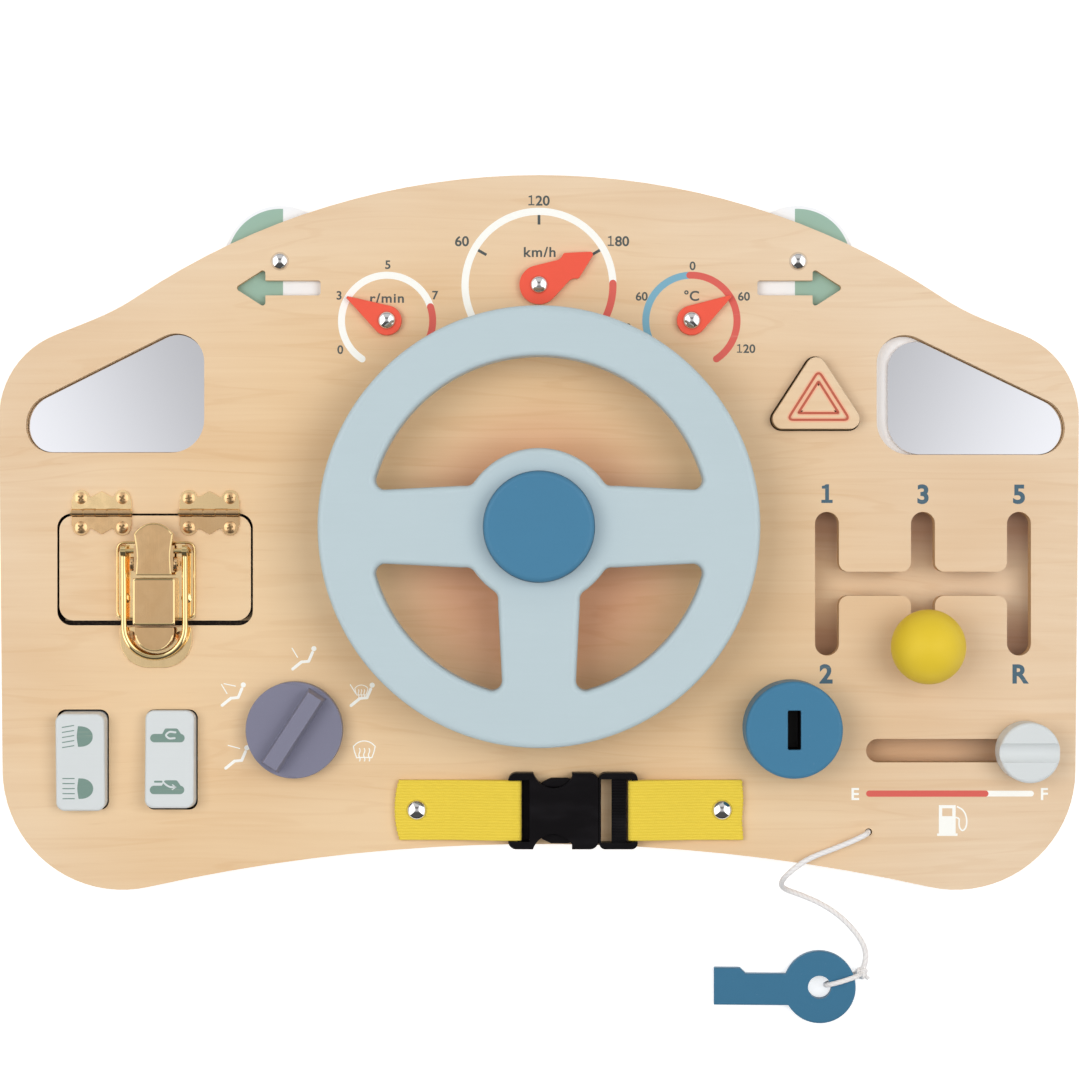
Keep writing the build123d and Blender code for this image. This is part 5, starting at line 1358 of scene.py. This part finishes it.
class BOARD_OT_rockers(BoardOperator, Operator):
    """White paint and printed symbols of the two rocker switches"""

    bl_idname = "board.rockers"
    bl_label = "Rockers"

    def execute(self, context):
        look = context.scene.board_print
        white = context.scene.board_paint.white
        dress(finished("painted_switch", paint, white, 0.05), "left_rocker", "right_rocker")
        symbol = finished("symbol_ink", ink_finish, look.symbol)
        pale = finished("pale_mark", ink_finish, white)
        marks = lamp_symbol(-191.1, -83.9, 0.8) + lamp_symbol(-191.1, -105.6, 0.0)
        piece("lamp_symbols", joined([on_rocker(mark, 1) for mark in marks]), symbol, "left_rocker")
        marks = car_symbol(-153.9, -86.1) + car_symbol(-153.9, -107.5)
        piece("car_symbols", joined([on_rocker(mark, -1) for mark in marks]), symbol, "right_rocker")
        turn_round = [(-150.6, -83.7), (-153.4, -83.7), (-154.5, -84.9), (-153.4, -86.1), (-150.9, -86.1)]
        dash = [(-158.9, -104.1), (-156.2, -104.1)]
        draw_in = [(-155.5, -104.3), (-154.0, -105.6), (-152.4, -106.3), (-150.6, -106.3)]
        arrow_head = [(-151.6, -105.4), (-150.2, -106.4), (-151.7, -107.3)]
        arrows = [ink(line, width, lift=0.00005) for line, width in (
            (smooth_line(turn_round), 0.8), (smooth_line(draw_in), 0.75), (arrow_head, 0.5))]
        piece("intake_dash", on_rocker(ink(dash, 0.8), -1), symbol, "right_rocker")
        piece("car_arrows", joined([on_rocker(mark, -1) for mark in arrows]), pale, "right_rocker")
        return {"FINISHED"}


class BOARD_OT_warning(BoardOperator, Operator):
    """Two red outlines on the warning button"""

    bl_idname = "board.warning"
    bl_label = "Warning print"

    def execute(self, context):
        look = context.scene.board_print
        red = finished("outline_ink", ink_finish, look.outline)
        pale = finished("halo_ink", ink_finish, look.halo)
        outer = rounded([(103.0, 46.5), (128.9, 46.5), (115.95, 66.9)], 2.6) * MM
        inner = rounded([(107.5, 49.3), (124.3, 49.3), (115.95, 62.5)], 0.8) * MM
        for name, width, low, thick, material in (
                ("warning_outlines", 0.00098, HAZARD_TOP + INK / 2, INK, red),
                ("warning_halo", 0.0022, HAZARD_TOP, INK / 2, pale)):
            lines = [band(line, width, low, low + thick) for line in (outer, inner)]
            piece(name, joined(lines), material, "hazard_button")
        return {"FINISHED"}


class BOARD_OT_paint(BoardOperator, Operator):
    """Paint for the wheel, the knobs, the needles and the ball"""

    bl_idname = "board.paint"
    bl_label = "Painted parts"

    def execute(self, context):
        look = context.scene.board_paint
        dress(paint("painted_wheel", look.wheel, 0.05), "steering_wheel")
        dress(paint("painted_blue", look.blue), "horn_button")
        dress(lock_paint("painted_lock", look.blue), "ignition_lock")
        needle = paint("painted_needle", look.needle, 0.05, gloss=0.2)
        dress(needle, "speed_needle", "rev_needle", "temperature_needle")
        dress(paint("painted_violet", look.violet), "climate_knob")
        dress(paint("painted_ball", look.ball, 0.08, gloss=0.15), "gear_ball")
        dress(finished("painted_switch", paint, look.white, 0.05), "fuel_knob")
        return {"FINISHED"}


def signal_disc(name, centre_x, side):
    """Disc in two colours: green inside the radius where side * (x - centre) is over -1 mm, else white."""
    look = bpy.context.scene.board_paint
    make = Finish(name, Coat_Weight=0.1, Coat_Roughness=0.35, IOR=1.46, Specular_IOR_Level=0.35)
    x, y, _ = make.split(make.place)
    inside = make.fade(make.reach(x, y, centre_x, INDICATOR_Y), look.green_radius, look.green_radius - 0.0001)
    outer = make.fade((x - centre_x) * side, -0.00105, -0.00095)
    colour = make.blend(inside * outer, look.disc_white, look.green)
    return make.finish(make.effect("Paint film", Paint=colour, Cloud=0.05), 0.00003)


class BOARD_OT_signals(BoardOperator, Operator):
    """Green and white print of the turn-signal discs"""

    bl_idname = "board.signals"
    bl_label = "Signal discs"

    def execute(self, context):
        for name, side in (("left", -1.0), ("right", 1.0)):
            dress(signal_disc(name + "_signal", INDICATOR_X * side, side), name + "_indicator_disc")
        return {"FINISHED"}


# ------------------------------------------------------------------
# metal, mirrors
# ------------------------------------------------------------------
PLATED = 0.000006  # depth of the drawn lines in brass plating


class BOARD_OT_metal(BoardOperator, Operator):
    """Brass of the hinges and latch, chrome dome heads, plain steel inside, and the mirrors"""

    bl_idname = "board.metal"
    bl_label = "Metal and mirrors"

    def execute(self, context):
        look = context.scene.board_metal
        brass = metal("brass_plate", look.brass, look.tarnish, 0.10, 0.22, PLATED, look.pale)
        dress(brass, "hinge_frame_leaves", "latch_base", "latch_catch")
        raised = metal("brass_raised", look.brass, look.tarnish, 0.10, 0.22, PLATED)
        dress(raised, "hinge_door_leaves", "latch_lever")
        wire = metal("brass_wire", look.wire, look.wire, 0.08, 0.16, 0.000004)
        dress(wire, "hinge_pins", "latch_rivets", "latch_lever_pin", "bail_pin", "latch_bail")
        screw = metal("brass_screw", look.brass, look.tarnish, 0.34, 0.42, PLATED)
        dress(screw, "frame_screws", "hinge_door_screws")
        # painted shade: dark brass for the crosses on the hinge screws' recesses
        metal("brass_slot", (0.30, 0.19, 0.09), (0.24, 0.15, 0.07), 0.4, 0.5)
        chrome = metal("chrome_dome", look.chrome, look.chrome, 0.03, 0.08, 0.000002)
        dress(chrome, "gauge_screws", "indicator_screws", "strap_rivets")
        steel = metal("zinc_steel", look.steel, look.steel, 0.28, 0.45, 0.00002)
        dress(steel, "panel_screws", "steering_axle", "steering_washer", "steering_nut", "horn_spring",
              "hazard_spring", "rocker_rod", "ignition_spindle", "climate_spindle")
        glass = metal("mirror_sheet", look.mirror, look.mirror, 0.01, 0.03, 0.0000004)
        dress(glass, "left_mirror", "right_mirror")
        dress(paint("mirror_card", (0.97, 0.98, 1.0), 0.02), "mirror_backings")
        return {"FINISHED"}


LATCH_X = -159.5  # middle line of the latch, in millimetres
HINGE_SCREW_X = (-190.7, -173.5, -145.8, -128.6)


def bead(points, height, radius, closed=False):
    """Round rim along (x, y) points given in millimetres from the latch's middle line."""
    flat = np.asarray(points, dtype=float) + [LATCH_X, 0.0]
    path = np.column_stack([flat, np.full(len(flat), FACE / MM + height)]) * MM
    return twisted(path, radius * MM, 1.0, closed=closed, strands=0, around=14)[0]


def cross(x, y, turn, z):
    """Two crossed dark bars, 2.8 mm long, painted as the shade in a screw's recess."""
    ways = [1.4 * heading(degrees) for degrees in (turn, turn + 90.0)]
    return [ink([way + [x, y], [x, y] - way], 0.55, base=z, lift=LIFT * number, round_ends=False)
            for number, way in enumerate(ways)]


class BOARD_OT_latch_rims(BoardOperator, Operator):
    """Rolled rims of the latch's base, bridge, lever and tongue, and dark crosses painted as the shade in the
    hinge screws' recesses
    """

    bl_idname = "board.latch_rims"
    bl_label = "Latch rims"

    def execute(self, context):
        brass = bpy.data.materials["brass_wire"]
        base = bead(rounded(box_outline(-16.0, 16.0, -35.8, -4.4), 3.4), 1.05, 0.5, True)
        bridge = bead(rounded(box_outline(-8.3, 8.3, -38.1, -19.6), 1.0), 7.25, 0.5, True)
        piece("latch_plate_rims", joined([base, bridge]), brass, "door", smooth=True)
        side = smooth_line([(7.0, -17.5), (6.65, -9.2), (7.75, -0.5)], 20)
        crown = arc(0.0, -5.55, 8.85, 30.0, 150.0)
        lever = np.vstack([side, crown, (side * [-1, 1])[::-1]])
        piece("lever_rim", bead(lever, 8.40, 0.5, True), brass, "latch_lever", smooth=True)
        z = FACE + 0.0017
        for name, row, body in (("frame_recess_shade", 14.1, "root"), ("door_recess_shade", 1.9, "door")):
            slots = [mark for x in HINGE_SCREW_X for mark in cross(x, row, 37.0 * x, z)]
            piece(name, joined(slots), bpy.data.materials["brass_slot"], body)
        piece("tongue_rim", bead(arc(0.0, -41.3, 7.8, 190.0, 350.0), 6.25, 0.42), brass, smooth=True)
        return {"FINISHED"}


# ------------------------------------------------------------------
# straps and buckle
# ------------------------------------------------------------------
STRAP_Y = -0.1156  # middle line of the strap
STRAP_POINTS = 150  # along one strap half
RIB_POINTS = 8  # across one rib
FACE_MM = FACE / MM


def strap_line(end, near, far):
    """Middle line (x, z) in millimetres: out along the face, round the bar and back over itself."""
    out = 1.0 if far > near else -1.0
    low, high = FACE_MM + 0.72, FACE_MM + 2.12
    under, over = 23.35, 27.3
    start = near - out * 24.0
    corners = [
        (end, low), (start, low), (near - out * 4.5, low + 0.1), (near - out * 0.5, under - 0.25),
        (far + out * 0.2, under), (far + out * 1.0, under + 0.35), (far + out * 1.0, over - 0.35),
        (far + out * 0.2, over), (near - out * 0.2, over), (start, high), (end, high),
    ]
    bends = np.array(corners)
    line = [bends[0]]
    t = np.linspace(0, 1, 6)[:, None]
    for before, here, after in zip(bends, bends[1:], bends[2:]):
        reach = 0.45 * min(np.linalg.norm(here - before), np.linalg.norm(after - here), 2.2)
        line.extend(bend(here + unit(before - here) * reach, here, here + unit(after - here) * reach, t))
    line.append(bends[-1])
    return np.array(line)


def strap_half(name, end, near, far, material, body="root"):
    """Ribbon of webbing: its middle line moved half a thickness to each side and carried across y.

    A rib stands (1 + cos(2 pi * ribs * y / width)) / 2 of the rib height, and the selvedges thin out.
    """
    look = bpy.context.scene.board_strap
    line = strap_line(end, near, far)
    run = run_along(line)
    where = np.linspace(0.0, run[-1], STRAP_POINTS)
    line = np.column_stack([np.interp(where, run, line[:, k]) for k in range(2)])
    along = unit(np.gradient(line, axis=0))
    normal = np.column_stack([-along[:, 1], along[:, 0]])
    across = np.linspace(-0.5, 0.5, look.ribs * RIB_POINTS + 1)
    rib = (1 + np.cos(2 * math.pi * look.ribs * across)) / 2 * look.rib
    selvedge = np.clip((0.5 - np.abs(across)) * look.width / 0.0006, 0, 1)
    half = look.thickness / 2 - look.rib + rib - (1 - np.sqrt(selvedge)) * 0.0003
    section = np.vstack([line, line[::-1]]) * MM
    away = np.vstack([normal, -normal[::-1]])
    places = np.zeros((len(section), len(across), 3))
    places[:, :, 0] = section[:, 0, None] + away[:, 0, None] * half[None, :]
    places[:, :, 2] = section[:, 1, None] + away[:, 1, None] * half[None, :]
    places[:, :, 1] = STRAP_Y + across[None, :] * look.width
    ragged = 0.10 * np.sin(across * 151) + 0.12 * np.sin(across * 83 + 1) + 0.08 * np.sin(across * 263)
    bow = (1.9 * np.abs(2 * across) ** 2.2 - 0.3 * across) if end < near else 0.25 * np.sin(across * 9)
    near_end = np.clip(1 - np.abs(section[:, 0] / MM - end) / 9.0, 0, 1)
    places[:, :, 0] += near_end[:, None] * (bow + ragged)[None, :] * MM
    count, columns = len(section), len(across)
    faces = halves(grid_faces(count, columns, close_rows=True))
    i = np.arange(len(line) - 1)
    j = count - 1 - i
    near_side = np.column_stack([i, i + 1, j - 1, j]) * columns
    far_side = near_side[:, ::-1] + columns - 1
    faces = np.vstack([faces, halves(near_side), halves(far_side)])
    u = np.concatenate([where, where[::-1]])
    uv = np.stack(np.broadcast_arrays(u[:, None] * MM, across[None, :] * look.width), axis=2).reshape(-1, 2)
    made = piece(name, outward((places.reshape(-1, 3), faces)), material, body, True, uv)
    return made


class BOARD_OT_straps(BoardOperator, Operator):
    """Ribbed webbing of the two strap halves, the buckle's plastic, and a black plate as painted shade in its
    slot
    """

    bl_idname = "board.straps"
    bl_label = "Straps"

    def execute(self, context):
        black = finished("buckle_plastic", plastic)
        dress(black, "buckle_socket", "buckle_plug", "upper_prong", "lower_prong")
        cloth = finished("ribbed_webbing", webbing)
        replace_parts(strap_half("left_webbing", -60.0, -12.8, -8.9, cloth), "left_strap")
        right = strap_half("right_webbing", 84.7, 40.9, 38.6, cloth, body=None)
        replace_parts(right, "right_strap")
        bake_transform(right)
        row = np.arange(-13.2, 13.3, 1.2)
        bars = [rounded(box_outline(30.3, 36.0, y - 0.35, y + 0.35), 0.3) for y in row]
        ribs = [slab(bar * MM + [0.0, STRAP_Y], 0.0264, 0.0270) for bar in bars]
        piece("ladder_ribs", joined(ribs), black, "buckle_plug")
        # painted shade: a black plate under the socket's open slot, standing for the shade in it
        shade_plate = np.array(box_outline(-7.1, -3.95, -12.6, 12.6)) * MM + [0.0, STRAP_Y]
        piece("slot_shade_plate", slab(shade_plate, 0.02135, 0.0232), black)
        return {"FINISHED"}


def webbing(name):
    """Yellow webbing with ribs along its length; its UV is length and width in metres."""
    look = bpy.context.scene.board_strap
    make = Finish(name, Roughness=0.8, Sheen_Weight=0.2, Sheen_Roughness=0.4, Specular_IOR_Level=0.2)
    weave = make.effect("Ribbed weave", Vector=make.where["UV"], Thread=look.yellow, Valley=look.valley,
                        Rib=look.width / look.ribs)
    return make.finish(weave, 0.00007)


# ------------------------------------------------------------------
# rounded edges
# ------------------------------------------------------------------
ROUND_EDGES = {
    "front_panel": 0.3,
    "steering_boss": 0.4,
    "horn_button": 0.7,
    "ignition_lock": 0.6,
    "climate_knob": 0.6,
    "door_panel": 0.25,
    "hazard_button": 0.5,
    "latch_base": 0.3,
    "latch_lever": 0.45,
    "latch_catch": 0.35,
    "hinge_frame_leaves": 0.18,
    "hinge_door_leaves": 0.18,
    "buckle_socket": 0.6,
    "buckle_plug": 0.45,
    "upper_prong": 0.6,
    "lower_prong": 0.6,
}


PRESSED_SPRINGS = [
    ("horn_spring", "horn_press", (0.0, 0.0021, 0.045), 0.817),
    ("hazard_spring", "hazard_press", (0.115, 0.0545, 0.004), 0.571),
]


class BOARD_OT_edges(BoardOperator, Operator):
    """Small rounded edges on wood, brass and plastic, and on the springs"""

    bl_idname = "board.edges"
    bl_label = "Rounded edges"

    def execute(self, context):
        for node, radius in ROUND_EDGES.items():
            softened(node, radius * MM)
        for node, radius, corner in (("speed_needle", 0.0005, 0.0018), ("rev_needle", 0.0004, 0.0004),
                                     ("temperature_needle", 0.0004, 0.0004)):
            softened(node, radius, corner=corner)
        softened("latch_bail", 0.0001, swell=0.00022, angle=80.0)
        for node, joint, centre, keep in PRESSED_SPRINGS:
            spring = softened(node, 0.0001, angle=170.0)
            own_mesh(spring)
        domes = {"gauge_screws": 0.00042, "indicator_screws": 0.00035, "strap_rivets": 0.0003}
        for node, swell in domes.items():
            softened(node, 0.0001, swell=swell, angle=60.0)
        return {"FINISHED"}


# ------------------------------------------------------------------
# panel, registration and run
# ------------------------------------------------------------------
OPERATORS = (
    BOARD_OT_stage,
    BOARD_OT_cord,
    BOARD_OT_panels,
    BOARD_OT_gauges,
    BOARD_OT_gear_marks,
    BOARD_OT_fuel_marks,
    BOARD_OT_climate_marks,
    BOARD_OT_rockers,
    BOARD_OT_warning,
    BOARD_OT_paint,
    BOARD_OT_signals,
    BOARD_OT_metal,
    BOARD_OT_latch_rims,
    BOARD_OT_straps,
    BOARD_OT_edges,
)


class BOARD_PT_panel(Panel):
    """Lists the board's pieces and their values"""

    bl_idname = "BOARD_PT_panel"
    bl_label = "Busy board"
    bl_space_type = "VIEW_3D"
    bl_region_type = "UI"
    bl_category = "Board"

    def draw(self, context):
        for operator in OPERATORS:
            self.layout.operator(operator.bl_idname, text=operator.bl_label)
        for name, kind in GROUPS.items():
            box = self.layout.box()
            values = getattr(context.scene, name)
            for key in kind.__annotations__:
                box.prop(values, key)


def register():
    for kind in GROUPS.values():
        bpy.utils.register_class(kind)
    for name, kind in GROUPS.items():
        setattr(bpy.types.Scene, name, PointerProperty(type=kind))
    for operator in OPERATORS:
        bpy.utils.register_class(operator)
    bpy.utils.register_class(BOARD_PT_panel)


def unregister():
    bpy.utils.unregister_class(BOARD_PT_panel)
    for operator in reversed(OPERATORS):
        bpy.utils.unregister_class(operator)
    for name in GROUPS:
        delattr(bpy.types.Scene, name)
    for kind in GROUPS.values():
        bpy.utils.unregister_class(kind)


def main():
    register()
    for operator in OPERATORS:
        group, name = operator.bl_idname.split(".")
        getattr(getattr(bpy.ops, group), name)()


if __name__ == "__main__":
    main()
